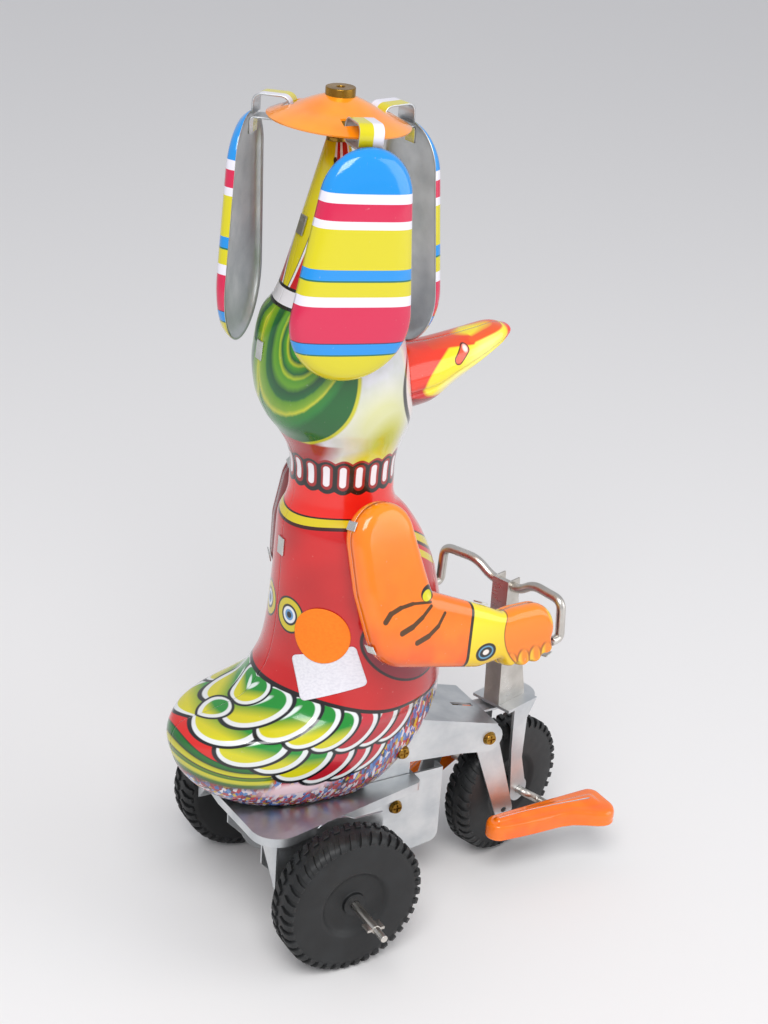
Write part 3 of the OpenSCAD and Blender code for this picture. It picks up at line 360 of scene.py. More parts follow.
# red pointed lozenge at the back, over the brim
_, lozenge = oval(tree, leaf_place, (158, 166.5), (17, 12))
lozenge = add(tree, "VectorMath", {0: lozenge}, operation="ABSOLUTE")
lozenge = add(tree, "VectorMath", {0: lozenge, 1: (1, 0, 1)}, out=1, operation="DOT_PRODUCT")
for code, limit in (("#15110F", 1.0), ("#EDEAEA", 0.93), ("#C8141C", 0.72)):
    hat = blend(tree, inside(tree, lozenge, limit, 0.03), hat, ink(code))
BRIM = [(162.0, "#12110F"), (162.7, "#E9E6EA"), (165.9, "#12110F"), (166.6, "#12110F")]
brim = ramp(tree, height, BRIM, 161.9, 166.7, steps=True)
hat = blend(tree, inside(tree, height, 166.6), hat, brim)
print("hat drawn")

# %% [markdown]
# The collar repeats one capsule round the neck, so it is drawn once in a cell that repeats by angle. The
# jacket has a few lines that curve with its cut: the piping of the yoke and the black hem. It also has
# painted light: a brighter red above the piping, and a painted shadow of the arm below the elbow.

# %% Print: collar and jacket
from_neck = add(tree, "Math", {0: forward, 1: 7.8}, operation="SUBTRACT")
round_neck = add(tree, "Math", {0: parts[1], 1: from_neck}, operation="ARCTAN2")
cell = add(tree, "Math", {0: round_neck, 1: 20 / math.tau, 2: 10.0}, operation="MULTIPLY_ADD")
cell = add(tree, "Math", {0: cell}, operation="FRACT")
across = add(tree, "Math", {0: cell, 1: 3.8, 2: -1.9}, operation="MULTIPLY_ADD")
cell_place = add(tree, "CombineXYZ", {0: across, 2: height})
wave = add(tree, "Math", {0: add(tree, "Math", {0: cell, 1: math.pi}, operation="MULTIPLY")},
           operation="SINE")
collar = stroke(tree, ink("#151110"), "#9E1A1A", cell_place, (0, 120.4), (0, 124.3), 2.7)
collar = stroke(tree, collar, "#EDE7EA", cell_place, (-0.1, 120.6), (-0.1, 124.3), 1.55)

bow = add(tree, "Math", {0: add(tree, "Math", {0: forward, 1: 2.0}, operation="SUBTRACT"), 1: 2.0},
          operation="POWER")
piping = add(tree, "Math", {0: bow, 1: -0.0165, 2: 111.3}, operation="MULTIPLY_ADD")
above = add(tree, "Math", {0: height, 1: piping}, operation="SUBTRACT")
cloth = clouded(tree, ink("#CE1417"), "#BC1014", grain(tree, 14.0, 1.0), 0.4, 0.65)
# above the piping the red is brighter: painted light on the top of the shoulders
JACKET_LINES = [(-1.7, "#CE1417"), (-1.6, "#3A0E0A"), (-0.85, "#D9C416"), (0.75, "#2A0F0A"),
                (1.1, "#E8231A"), (2.0, "#E8231A")]
lines = ramp(tree, above, JACKET_LINES, -1.8, 2.2, steps=True)
jacket = blend(tree, inside(tree, -1.6, above, 0.1), cloth, lines)
lower = add(tree, "Math", {0: above, 1: 3.4}, operation="ADD")
lapel = both(tree, inside(tree, add(tree, "Math", {0: lower}, operation="ABSOLUTE"), 0.8),
             inside(tree, 19.0, forward, 1.0))
jacket = blend(tree, lapel, jacket, ink("#D9C416"))
# painted shadow of the arm on the jacket: a dark crimson oval with a near-black rim below the elbow
for code, size in (("#2A0A10", (13.5, 8)), ("#8C0A28", (12.7, 7.3))):
    jacket = patch(tree, jacket, code, flat, (17.5, 79), size, -28)
button = add(tree, "VectorMath", {0: mirrored, 1: (7.6, 5.2, 86)}, out=1, operation="DISTANCE")
behind = inside(tree, forward, 1.0, 0.4)
for code, radius in (("#17120C", 4.7), ("#D2BE14", 4.2), ("#17120C", 2.75), ("#E4E6EA", 2.2),
                     ("#5F93C4", 1.55), ("#121212", 1.05)):
    jacket = blend(tree, both(tree, behind, inside(tree, button, radius)), jacket, ink(code))
print("collar and jacket drawn")

# %% [markdown]
# Each scale of the tail is an oval leaf, laid from the lowest row to the highest so that each covers the
# root of the one below. A leaf is four layers: a black outline, a white rim, the leaf itself, which is red
# or shades from yellow at its tip to green, and a pale glint.

# %% Print: tail, scales and belly
speck = add(tree, "Mapping", {0: solid_place, 2: (0.3, -0.5, 0.2), 3: (1.7, 1.1, 0.75)})
cells = add(tree, "TexVoronoi", {"Vector": speck, "Scale": 0.8, "Randomness": 1.0}, out=1)
pick = add(tree, "SeparateColor", {0: cells})
CONFETTI = [(0.0, "#2F5FA8"), (0.17, "#B51E34"), (0.36, "#D8CDD4"), (0.5, "#5A86C0"), (0.62, "#8E1A2C"),
            (0.76, "#C9A61C"), (0.84, "#E6DCE2"), (0.92, "#2A2A3A"), (1.0, "#2A2A3A")]
belly = ramp(tree, pick, CONFETTI, 0.0, 1.0, steps=True)
belly = clouded(tree, belly, "#7C1420", grain(tree, 6.0, 2.0), 0.5, 0.75, 0.55)
belly = patch(tree, belly, "#E5C4CC", flat, (-8, 45.4), (9.5, 2.3), 8, soft=1.6)

tail_away, _ = oval(tree, flat, (-20, 62), (18, 11.6))
TAIL_STRIPES = [(0.5, "#D61E18"), (0.79, "#D61E18"), (0.8, "#0D2A14"), (0.83, "#0F6E22"),
                (0.91, "#0C5A1E"), (0.93, "#0D2A14"), (0.96, "#B9B414"), (1.03, "#D2CB1E"),
                (1.06, "#16240C"), (1.09, "#5E8414"), (1.14, "#3F6A10"), (1.17, "#CFC91C"),
                (1.24, "#C2BE2E"), (1.29, "#3A6A1C"), (1.36, "#41502A"), (1.45, "#6E2C2C")]
stripes = ramp(tree, tail_away, TAIL_STRIPES, 0.45, 1.5)
on_tail = both(tree, inside(tree, forward, -15.4, 1.5), inside(tree, tail_away, 1.42, 0.12))
tail = blend(tree, on_tail, belly, stripes)


def scale_leaf(under, centre, size, lean, tip, root):
    """A scale of the tail: outline, white rim, shaded leaf and glint."""
    away, local = oval(tree, quarter, centre, size, lean)
    small = EDGE / size[1]
    under = blend(tree, inside(tree, away, 1.12, small), under, ink("#0B0F14"))
    under = blend(tree, inside(tree, away, 0.99, small), under, ink("#E2E6E6"))
    up = add(tree, "VectorMath", {0: local, 1: (-0.03, 0, 0.1)}, operation="SUBTRACT")
    core = add(tree, "VectorMath", {0: up}, out=1, operation="LENGTH")
    slope = add(tree, "VectorMath", {0: local, 1: (0.6, 0, 0.8)}, out=1, operation="DOT_PRODUCT")
    tone = add(tree, "MapRange", {0: slope, 1: -0.5, 2: 0.05})
    leaf = blend(tree, tone, ink(tip), ink(root))
    under = blend(tree, inside(tree, core, 0.87, small), under, leaf)
    glint, _ = oval(tree, local, (0.12, 0.25), (0.34, 0.14), 14)
    return blend(tree, inside(tree, glint, 1.0, 0.5), under, ink("#DDEBE4"))


GREEN, RED = ("#D2CB14", "#128A2C"), ("#B21826", "#C42434")
SCALES = [((17.0, 42.1), (6.3, 2.9), 48, RED), ((12.7, 40.3), (6.8, 3.2), 44, RED),
          ((8.0, 39.5), (7.5, 3.6), 39, RED), ((2.4, 40.1), (7.7, 4.3), 32, GREEN),
          ((-3.4, 41.6), (7.4, 4.6), 24, GREEN), ((-9.6, 42.9), (8.8, 4.8), 12, GREEN),
          ((-16.2, 47.9), (8.8, 5.2), 2, GREEN), ((23.2, 50.4), (6.6, 2.9), 56, RED),
          ((19.1, 49.3), (6.8, 3.2), 52, RED), ((14.1, 47.9), (6.8, 3.4), 48, RED),
          ((9.1, 47.5), (6.8, 3.6), 40, GREEN), ((4.0, 48.5), (7.5, 4.1), 36, GREEN),
          ((-1.8, 49.8), (8.2, 4.3), 29, GREEN), ((-9.7, 51.9), (8.8, 4.3), 18, GREEN),
          ((-11.6, 55.4), (5.0, 3.1), 24, GREEN), ((-21.5, 51.3), (5.7, 2.8), -4, GREEN)]
for centre, size, lean, (tip, root) in SCALES:
    tail = scale_leaf(tail, centre, size, lean, tip, root)

hem_line = add(tree, "MapRange", {0: forward, 1: -13.0, 2: 16.0, 3: 68.6, 4: 63.4},
               interpolation_type="SMOOTHSTEP")
over_hem = add(tree, "Math", {0: height, 1: hem_line}, operation="SUBTRACT")
body = blend(tree, inside(tree, -0.5, over_hem), tail, ink("#14090A"))
body = blend(tree, inside(tree, 0.5, over_hem), body, jacket)
bottom = add(tree, "Math", {0: wave, 1: -0.7, 2: 118.7}, operation="MULTIPLY_ADD")
top = add(tree, "Math", {0: wave, 1: 0.9, 2: 125.4}, operation="MULTIPLY_ADD")
head_from = add(tree, "Math", {0: top, 1: 0.6}, operation="ADD")
for limit, upper in ((bottom, collar), (top, ink("#A01A1C")), (head_from, head), (162.0, hat)):
    body = blend(tree, inside(tree, limit, height), body, upper)
gloss_print(shader, tree, body)
print("the body's print has", len(tree.nodes), "nodes")

# %% [markdown]
# The other printed parts. A flap carries straight bands across its leaf and is bare tin inside. The leaf
# keeps its own flat place (across and down, in mm) as an attribute, so one material serves all three.

# %% Print: flaps and strap
PRINT_FLAP, tree, shader = new_material("lithographed tinplate, flap", 0.14, coat=0.6, ior=1.5)
own = add(tree, "Attribute", out=1, attribute_name="sheet")
down = add(tree, "SeparateXYZ", {0: own}).node.outputs[2]
BANDS = [(0, "#0A8FE0"), (10.7, "#E9E6F0"), (12.9, "#D3164A"), (16.6, "#E9E6F0"), (18.4, "#D8CC0A"),
         (27.2, "#0A8FE0"), (29.6, "#0C6A50"), (30.0, "#D8CC0A"), (33.2, "#E9E6F0"), (35.5, "#D3164A"),
         (43.6, "#2A1A4A"), (43.9, "#0A8FE0"), (46.3, "#0C6A50"), (46.7, "#D8CC0A"), (60, "#D8CC0A")]
bands = ramp(tree, down, BANDS[:8], 0.0, 30.1, steps=True)
lower_bands = ramp(tree, down, BANDS[7:], 30.0, 60.0, steps=True)
bands = blend(tree, inside(tree, 30.0, down, 0.1), bands, lower_bands)
gloss_print(shader, tree, bands)

PRINT_STRAP, tree, shader = new_material("lithographed tinplate, strap", 0.16, coat=0.5, ior=1.5)
own = add(tree, "Attribute", out=1, attribute_name="sheet")
across = add(tree, "SeparateXYZ", {0: own}).node.outputs[0]
strap_ink = blend(tree, inside(tree, 0.4, across), ink("#D8CC0A"), ink("#E9E6F0"))
gloss_print(shader, tree, strap_ink)
print("flap and strap print ready")

# %% [markdown]
# An arm is printed orange, redder along its lower edge, with three brown strokes at the elbow, a yellow
# cuff with a round button, and fingers with yellow tips. The far arm also has painted shade along its back
# edge: a dark crimson, with a painted reflection of the jacket's red in it.

# %% Print: arms
PRINT_ARM, tree, shader = new_material("lithographed tinplate, arm", 0.16, coat=0.55, ior=1.5)
own = add(tree, "Attribute", out=1, attribute_name="sheet")
parts = add(tree, "SeparateXYZ", {0: own}).node.outputs
along, up = parts[0], parts[2]
low = add(tree, "Math", {0: along, 1: 0.3, 2: up}, operation="MULTIPLY_ADD")
arm = ramp(tree, low, [(-34, "#C8380C"), (-28, "#EA5C10"), (-20, "#FC7406"), (0, "#FF7C04"),
                       (9, "#F2900E")], -36.0, 10.0)
arm = clouded(tree, arm, "#FF8A10", grain(tree, 8.0, 2.0), 0.4, 0.8, 0.5)
BROWN = "#4E3004"
for points, thick in ((((-2.9, -18.9), (-1.4, -17.4), (1.5, -16.6), (5, -16.4), (10.2, -17.2)), 1.5),
                      (((1.4, -22.7), (4.5, -21.9), (7.5, -20.3), (10.2, -18.2)), 1.45),
                      (((5.4, -26.0), (8.8, -25.2), (11.8, -23.5), (14.0, -20.8)), 1.35)):
    for number, (start, end) in enumerate(zip(points, points[1:])):
        arm = stroke(tree, arm, BROWN, own, start, end,
                     thick * (1 - 0.17 * number))
arm = patch(tree, arm, "#14110C", own, (9.6, -14.9), (2.1, 1.9), 30)
arm = patch(tree, arm, "#D8D014", own, (9.4, -15.4), (1.5, 1.3), 30)

# the cuff begins at a slanted dark line, and the hand covers its far end
slant = add(tree, "Math", {0: up, 1: -0.25, 2: along}, operation="MULTIPLY_ADD")
arm = blend(tree, inside(tree, 27.6, slant), arm, ink("#2A1A06"))
cuff = blend(tree, add(tree, "MapRange", {0: up, 1: -36.0, 2: -26.0}), ink("#E0B80C"), ink("#F4DE24"))
arm = blend(tree, inside(tree, 28.5, slant), arm, cuff)
for code, size in (("#14110F", (3.1, 2.1)), ("#5B93B4", (2.3, 1.5)), ("#14110F", (1.9, 1.15)),
                   ("#E8DCD4", (0.95, 0.6))):
    arm = patch(tree, arm, code, own, (25.2, -33.3), size, 6)
palm, _ = oval(tree, own, (41.6, -31.6), (10.3, 9.6))
hand = ramp(tree, up, [(-41, "#E8B010"), (-37.5, "#F07808"), (-34, "#FF7A00"), (-26, "#FF8A12")],
            -41.0, -24.0)
hand = patch(tree, hand, "#E8C41C", own, (46.6, -28.6), (1.3, 3.4), 14, soft=0.8)
for place in (32.6, 36.5, 40.2, 43.9):
    hand = patch(tree, hand, "#9A4A04", own, (place, -38.2), (2.15, 3.0), soft=0.5)
    hand = patch(tree, hand, "#E8B816", own, (place, -38.4), (1.7, 2.5), soft=0.4)
    hand = patch(tree, hand, "#F28208", own, (place + 0.4, -37.4), (1.0, 2.3), soft=0.8)
# painted shade on the far arm: its back edge is darkened crimson, with a painted reflection of the jacket's
# red
far_arm_back_shade = both(tree, inside(tree, along, 2.0, 1.0), inside(tree, 0.12, parts[1]))
arm = blend(tree, far_arm_back_shade, arm, ink("#7E0E14"))
arm = blend(tree, inside(tree, palm, 1.03, 0.03), arm, ink("#7A3A06"))
arm = blend(tree, inside(tree, palm, 1.0, 0.03), arm, hand)
gloss_print(shader, tree, arm)
print("the arm's print has", len(tree.nodes), "nodes")

# %% [markdown]
# The bill is printed red with yellow fields above and below a red line, a slanted nostril, and a dark
# lower edge. Pale streaks in the two yellow fields and a spot on the nostril are painted highlights. It is
# drawn in side view like the body.

# %% Print: bill
PRINT_BILL, tree, shader = new_material("lithographed tinplate, bill", 0.16, coat=0.55, ior=1.5)
flat = sheet_place(tree)
bill = ink("#F0381C")
# the pale cream streaks at (34.5, 140.6) and (37, 152.4) are painted highlights on the two yellow fields
for row in (("#C8160E", flat, (25, 137.5), (5, 3.5), 0, 2),
            ("#F4E022", flat, (36.5, 145.2), (13.5, 4.9), 27, 0.4),
            ("#F7F07A", flat, (41, 147.2), (5.5, 2.2), 32, 2.2),
            ("#E8E2B4", flat, (34.5, 140.6), (5.8, 1.5), 22, 1.4),
            ("#F2DE1E", flat, (38.5, 152.2), (11.5, 2.3), 9, 0.4),
            ("#FBF6C8", flat, (37, 152.4), (5.0, 0.8), 10, 0.8)):
    bill = patch(tree, bill, *row)
for row in (("#E8481C", flat, (28, 148.8), (38, 149.2), 1.5, 0.3),
            ("#E8581C", flat, (38, 149.2), (47.5, 151.4), 1.0, 0.3),
            ("#3A140C", flat, (33.6, 145.6), (35.6, 147.8), 2.3),
            ("#E0583C", flat, (33.6, 145.6), (35.6, 147.8), 1.8)):
    bill = stroke(tree, bill, *row)
# a painted highlight on the nostril
bill = patch(tree, bill, "#FBE6DC", flat, (35.7, 147.9), (0.6, 0.7), soft=0.4)
edge, _ = oval(tree, flat, (31.5, 148.4), (18.5, 11.3), 8)
lower = both(tree, inside(tree, 0.985, edge, 0.03),
             inside(tree, add(tree, "SeparateXYZ", {0: flat}).node.outputs[2], 144.5, 1.0))
bill = blend(tree, lower, bill, ink("#8C1A10"))
gloss_print(shader, tree, bill)
print("the bill's print has", len(tree.nodes), "nodes")

# %% [markdown]
# Two blank paper price stickers sit on the jacket. Office paper scatters light evenly, is never quite
# flat, and shows fine fibres.

# %% Paper
def paper(name, code, dark):
    made, tree, shader = new_material(name, 0.65, ior=1.45)
    fibre = add(tree, "MapRange", {0: grain(tree, 0.5, 5.0, stretch=(3, 1, 1)), 1: 0.4, 2: 0.7})
    feed(shader, "Base Color", blend(tree, fibre, ink(code), ink(dark)))
    feed(shader, "Normal", add(tree, "Bump", {"Strength": 0.3, "Distance": 0.03 * MM, "Height": fibre}))
    return made


ORANGE_PAPER = paper("orange fluorescent paper", "#FF8416", "#F87A10")
WHITE_PAPER = paper("white paper", "#E6E4EA", "#D8D6DE")
print("papers ready")

# %% [markdown]
# The engineering nodes whose shape is right stay, and take their finish from the list below. The slots
# that the record names decide which metal each gets.

# %% Finishes for the kept nodes
FINISH = {"printed_tin_body": PRINT_BODY, "printed_tin_arm": PRINT_ARM, "printed_tin_flap": PRINT_FLAP,
          "disc_enamel": DISC_ENAMEL, "orange_enamel": FOOT_ENAMEL, "tin_tabs": TABS,
          "satin_tin": SATIN_TIN, "bright_steel": BRIGHT, "spring_steel": SPRING, "brass": BRASS,
          "black_plastic": TYRE}
SLOT_OF = {row["node"]: row["material_slot"] for row in frame["record"]["subparts"]}
for name, thing in nodes.items():
    thing.data.materials.clear()
    thing.data.materials.append(FINISH[SLOT_OF[name]])
print("finishes set on", len(nodes), "nodes")

# %% [markdown]
# Now the shapes. One function makes a mesh from points in millimetres, sets it down with a matrix, gives it
# its finish and ties it to the body that it moves with. Sheet parts then get the real thickness of the tin,
# with bare metal on the inside.

# %% Functions that make pieces
BODY_OF = {name: body_of(thing)[0] for name, thing in nodes.items()}
SIDES = ((-1, "right"), (1, "left"))  # the toy's right is towards minus Y
SHEET = 0.4  # thickness of the printed tin


def in_scene(name, data):
    """A new object in the scene for a mesh, a light or a camera."""
    made = bpy.data.objects.new(name, data)
    bpy.context.scene.collection.objects.link(made)
    return made


def plain_mesh(name, points, faces, place=Matrix()):
    """A mesh from points in mm."""
    mesh = bpy.data.meshes.new(name)
    mesh.from_pydata([(place @ Vector(p)) * MM for p in points], [], faces)
    return mesh


def smooth(mesh):
    mesh.polygons.foreach_set("use_smooth", [True] * len(mesh.polygons))


def build(name, points, faces, finish, body, place=Matrix(), turn=False):
    """A smooth mesh; turn reverses its faces, for a shape that is mirrored."""
    mesh = plain_mesh(name, points, [f[::-1] if turn else f for f in faces], place)
    mesh.materials.append(finish)
    smooth(mesh)
    made = in_scene(name, mesh)
    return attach(made, body)


def reworked(mesh, merge=0.0, flat=0.0):
    """Joins points closer than merge mm and faces within flat degrees, or else turns all faces outwards."""
    shape = bmesh.new()
    shape.from_mesh(mesh)
    if merge:
        bmesh.ops.remove_doubles(shape, verts=shape.verts, dist=merge * MM)
    if flat:
        bmesh.ops.dissolve_limit(shape, angle_limit=math.radians(flat), verts=shape.verts, edges=shape.edges)
    else:
        bmesh.ops.recalc_face_normals(shape, faces=shape.faces)
    shape.to_mesh(mesh)
    shape.free()


def round_angles(count):
    """Evenly spaced angles round a circle."""
    return [2 * math.pi * k / count for k in range(count)]


def lid(points, row):
    """A face that closes a sheet with its last row of points."""
    return tuple(range(len(points) - len(row), len(points)))


def grid(rows, closed=False):
    """Points and faces of a sheet through rows of equal length; closed joins the ends of each row."""
    wide = len(rows[0])
    faces = [(i * wide + j, i * wide + (j + 1) % wide, (i + 1) * wide + (j + 1) % wide, (i + 1) * wide + j)
             for i in range(len(rows) - 1) for j in range(wide if closed else wide - 1)]
    return [p for row in rows for p in row], faces


def thicken(made, thick, inner, towards=-1.0):
    """Sheet thickness, with another finish inside and on the cut edge."""
    made.data.materials.append(inner)
    sheet = made.modifiers.new("Sheet thickness", "SOLIDIFY")
    sheet.thickness, sheet.offset = thick * MM, towards
    sheet.use_even_offset = False
    sheet.material_offset = sheet.material_offset_rim = 1
    return made


def bevel(made, width, angle=35):
    """Rounds the sharp edges."""
    made.data.set_sharp_from_angle(angle=math.radians(angle))
    edge = made.modifiers.new("Rounded edges", "BEVEL")
    edge.width, edge.segments = width * MM, 2
    edge.angle_limit = math.radians(angle)
    edge.harden_normals = True
    return made


def softened(node, width):
    """A copy of an engineering node with rounded edges, standing in for it."""
    mesh = nodes[node].data.copy()
    reworked(mesh, 0.002, flat=0.6)
    smooth(mesh)
    made = in_scene(node + "_finished", mesh)
    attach(made, BODY_OF[node])
    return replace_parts(bevel(made, width), node)


def eased(values, at):
    """A smooth curve through evenly numbered values, with no overshoot."""
    first = min(int(at), len(values) - 2)
    t = at - first
    steps = [b - a for a, b in zip(values, values[1:])]

    def slope(k):
        if k in (0, len(steps)):
            return steps[min(k, len(steps) - 1)]
        return 2 * steps[k - 1] * steps[k] / (steps[k - 1] + steps[k]) if steps[k - 1] * steps[k] > 0 else 0
    m0, m1, rise = slope(first), slope(first + 1), steps[first]
    return values[first] + t * (m0 + t * (3 * rise - 2 * m0 - m1 + t * (m0 + m1 - 2 * rise)))


def drilled(made, cutter):
    """Cuts a closed shape out of a piece for good, and removes the cutter."""
    cut = made.modifiers.new("Opening", "BOOLEAN")
    cut.operation, cut.object, cut.solver = "DIFFERENCE", cutter, "EXACT"
    bpy.context.view_layer.update()
    made.data = bpy.data.meshes.new_from_object(made.evaluated_get(bpy.context.evaluated_depsgraph_get()))
    made.modifiers.clear()
    bpy.data.objects.remove(cutter)
    return made


def block(low, high, place=Matrix()):
    """A plain block used only as a cutter."""
    points = [(x, y, z) for x in (low[0], high[0]) for y in (low[1], high[1]) for z in (low[2], high[2])]
    faces = [(0, 1, 3, 2), (4, 6, 7, 5), (0, 4, 5, 1), (2, 3, 7, 6), (0, 2, 6, 4), (1, 5, 7, 3)]
    return in_scene("cutter", plain_mesh("cutter", points, faces, place))


print("shape functions ready")

# %% [markdown]
# The duck is two pressed halves. Each row of the table is one height: back, front, half width, height, rise
# at the front, rise at the back, and half width at the front. The curve through the rows is smooth, as the
# press tool was, and the halves meet in a fine seam on the middle plane.

# %% Body halves
RINGS = [(-24, 33, 12.8, 36.4, 19.5, 2, 20.5), (-29.5, 35.5, 16.5, 41, 16.5, 2, 20.5),
         (-33, 36.8, 19, 47, 11.5, 1.5, 20.6), (-34.6, 37.2, 20.3, 54, 6, 1, 20.7),
         (-32.5, 37, 20.7, 59, 2.5, 0.6, 20.8), (-24, 36.8, 20.8, 61.3, 1.5, 0, 20.8),
         (-16.5, 36.5, 20.8, 63.5, 0.8, 0, 20.8), (-12.5, 36, 20.6, 67.5, 0, 0, 20.6),
         (-9.5, 35.6, 20.4, 73, 0, 0, 20.4), (-7.9, 35, 20.2, 82, 0, 0, 20.2),
         (-7.4, 33, 18.5, 92, 0, 0, 18.5), (-7.2, 29.5, 16.8, 101, 0, 0, 16.8),
         (-6.9, 25, 15.2, 108, 0, 0, 15.2), (-5.2, 21, 12.8, 112.5, 0, 0, 12.8),
         (-4.6, 20.2, 12.2, 116, 0, 0, 12.2), (-4.6, 20.2, 12, 121.5, 0, 0, 12),
         (-5.6, 20.8, 12.4, 126, 0, 0, 12.4), (-8.4, 22.6, 14.2, 131, 0, 0, 14.2),
         (-11.8, 23.4, 16, 135.5, 0, 0, 16), (-14.3, 22.6, 17, 141.5, 0, 0, 17),
         (-15.1, 21.2, 16.9, 148, 0, 0, 16.9), (-14.6, 19.8, 16, 154, 0, 0, 16),
         (-13.4, 17.6, 14.9, 159, 0, 0, 14.9), (-10.9, 14.9, 12.9, 162.5, 0, 0, 12.9),
         (-9.6, 13.6, 11.6, 165.5, 0, 0, 11.6), (-0.6, 4.6, 2.6, 198.5, 0, 0, 2.6)]
ANGLES = [0, 0.25, 1.2] + [1.2 + 177.6 * k / 92 for k in range(1, 92)] + [178.8, 179.75, 180]


def ring_point(row, angle, side, inset=0.0):
    back, front, half, height, nose, tail, half_front = row
    c, s = math.cos(math.radians(angle)), math.sin(math.radians(angle))
    wide = half + (half_front - half) * max(0, c)
    return ((back + front) / 2 + ((front - back) / 2 - inset) * c, side * (wide - inset) * s,
            height + nose * max(0, c) ** 1.6 + tail * max(0, -c) ** 3)


columns = list(zip(*RINGS))
body_rows = [[eased(column, n / 5) for column in columns] for n in range(5 * (len(RINGS) - 1) + 1)]
halves = {}
for side, word in SIDES:
    sheet = []
    for row in body_rows:
        line = [ring_point(row, angle, side) for angle in ANGLES]
        for end in (0, -1):
            x, _, z = ring_point(row, ANGLES[end], side, 0.16)
            line[end] = (x, side * 0.03, z)
        sheet.append(line)
    halves[side] = build(word + "_body_half", *grid(sheet), PRINT_BODY, "chassis", turn=side < 0)
    thicken(halves[side], SHEET, SATIN_TIN)
    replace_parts(halves[side], word + "_body_shell")
print("body half:", len(halves[1].data.vertices), "points, size in mm",
      [round(d / MM, 1) for d in halves[1].dimensions])

# %% [markdown]
# The bill is pressed with the halves. It has a crease where its two parts would meet, and closes in a
# rounded tip.

# %% Bill
BILL = [(19, 141.2, 7.8, 9), (27, 141.6, 7.4, 7.6), (34, 144, 5.6, 6.8), (41, 146.6, 4, 6),
        (46.5, 148.6, 2.8, 4.6), (50, 149.4, 1.2, 2.4)]
bill_columns = list(zip(*BILL))
slices = [[eased(column, n / 8) for column in bill_columns] for n in range(41)]
slices += [[50 + 0.5 * math.sqrt(1 - k * k), 149.45, 1.2 * k, 2.4 * k]
           for k in (0.92, 0.75, 0.5, 0.22, 0.02)]  # the rounded tip
for side, word in SIDES:
    sheet = []
    for x, middle, high, wide in slices:
        line = []
        for k in range(49):
            t = 180 * k / 48
            crease = 1 - 0.09 * math.exp(-((t - 103) / 4.5) ** 2)
            lift = math.copysign(abs(math.cos(math.radians(t))) ** 0.9, math.cos(math.radians(t)))
            line.append((x, side * max(0.02, crease * wide * math.sin(math.radians(t)) ** 0.85),
                         middle + crease * high * lift))
        sheet.append(line)
    made = build(word + "_bill_half", *grid(sheet), PRINT_BILL, "chassis", turn=side > 0)
    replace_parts(thicken(made, 0.35, SATIN_TIN), word + "_body_shell")
print("bill:", len(slices), "slices")

# %% [markdown]
# The arms are each two pressed halves too. Their outline is a chain of circles from the shoulder to the
# hand with four fingers below. Every point of the outline is drawn in towards the middle line of the arm,
# and rises as it goes, which gives the pillowed form of a pressed arm.

# %% Outline of an arm
CHAIN = [(0, 0, 8.4), (1.5, -11, 9.4), (4, -22.2, 9.7), (24.6, -29.6, 7.6), (31.6, -31.1, 5.5),
         (36.4, -31.4, 6.2), (41.6, -31.8, 6.3)]
FINGERS = [((32.8, -33.5, 1.9), (33.0, -37.2, 1.9)), ((36.6, -34, 1.95), (36.8, -38.0, 1.95)),
           ((40.4, -34, 1.95), (40.7, -38.1, 1.95)), ((43.9, -33.6, 1.9), (44.4, -36.9, 1.9))]
BONES = list(zip(CHAIN, CHAIN[1:])) + FINGERS


def on_bone(bone, x, z):
    """Distance outside a bone, and the nearest point on its middle line."""
    (ax, az, ar), (bx, bz, br) = bone
    dx, dz = bx - ax, bz - az
    long = math.hypot(dx, dz)
    t = ((x - ax) * dx + (z - az) * dz) / long ** 2
    off = abs((x - ax) * dz - (z - az) * dx) / long
    t = min(max(t - off * (ar - br) / long / math.sqrt(max(long ** 2 - (ar - br) ** 2, 1e-9)), 0), 1)
    px, pz = ax + t * dx, az + t * dz
    return math.hypot(x - px, z - pz) - (ar + t * (br - ar)), (px, pz)


def evened(ring, times):
    """A closed ring of points with its kinks smoothed out."""
    for _ in range(times):
        ring = [((a[0] + 2 * b[0] + c[0]) / 4, (a[1] + 2 * b[1] + c[1]) / 4)
                for a, b, c in zip(ring[-1:] + ring[:-1], ring, ring[1:] + ring[:1])]
    return ring


def arm_outline():
    """Points round the union of the bones, put in order by walking to the nearest one left."""
    loose = []
    for bone in BONES:
        (ax, az, ar), (bx, bz, br) = bone
        way = math.atan2(bz - az, bx - ax)
        lean = math.acos((ar - br) / math.hypot(bx - ax, bz - az))
        spots = [(end, angle) for end in (0, 1) for angle in round_angles(200)]
        spots += [(k / 60, way + side * lean) for k in range(61) for side in (-1, 1)]
        for t, angle in spots:
            x, z, r = (a + t * (b - a) for a, b in zip(*bone))
            point = (x + r * math.cos(angle), z + r * math.sin(angle))
            if min(on_bone(other, *point)[0] for other in BONES) > -0.012:
                loose.append(point)
    walk = [min(loose, key=lambda p: p[0])]
    here = walk[0]
    left = [p for p in loose if p != here]
    while left:
        here = min(left, key=lambda p: math.hypot(p[0] - here[0], p[1] - here[1]))
        if math.hypot(here[0] - walk[-1][0], here[1] - walk[-1][1]) > 2.5:
            break
        left = [p for p in left if math.hypot(p[0] - here[0], p[1] - here[1]) > 0.35]
        walk.append(here)
    walk = evened(walk, 3)
    turn = sum(a[0] * b[1] - b[0] * a[1] for a, b in zip(walk, walk[1:] + walk[:1]))
    return walk if turn > 0 else walk[::-1]


outline = arm_outline()
centres = [min((on_bone(bone, *p) for bone in BONES), key=lambda found: found[0])[1] for p in outline]
centres = evened(centres, 6)
print("arm outline:", len(outline), "points")

# %% [markdown]
# The hands take the turned ends of the handlebar, so each has an opening along the way that the end goes
# as the fork turns.

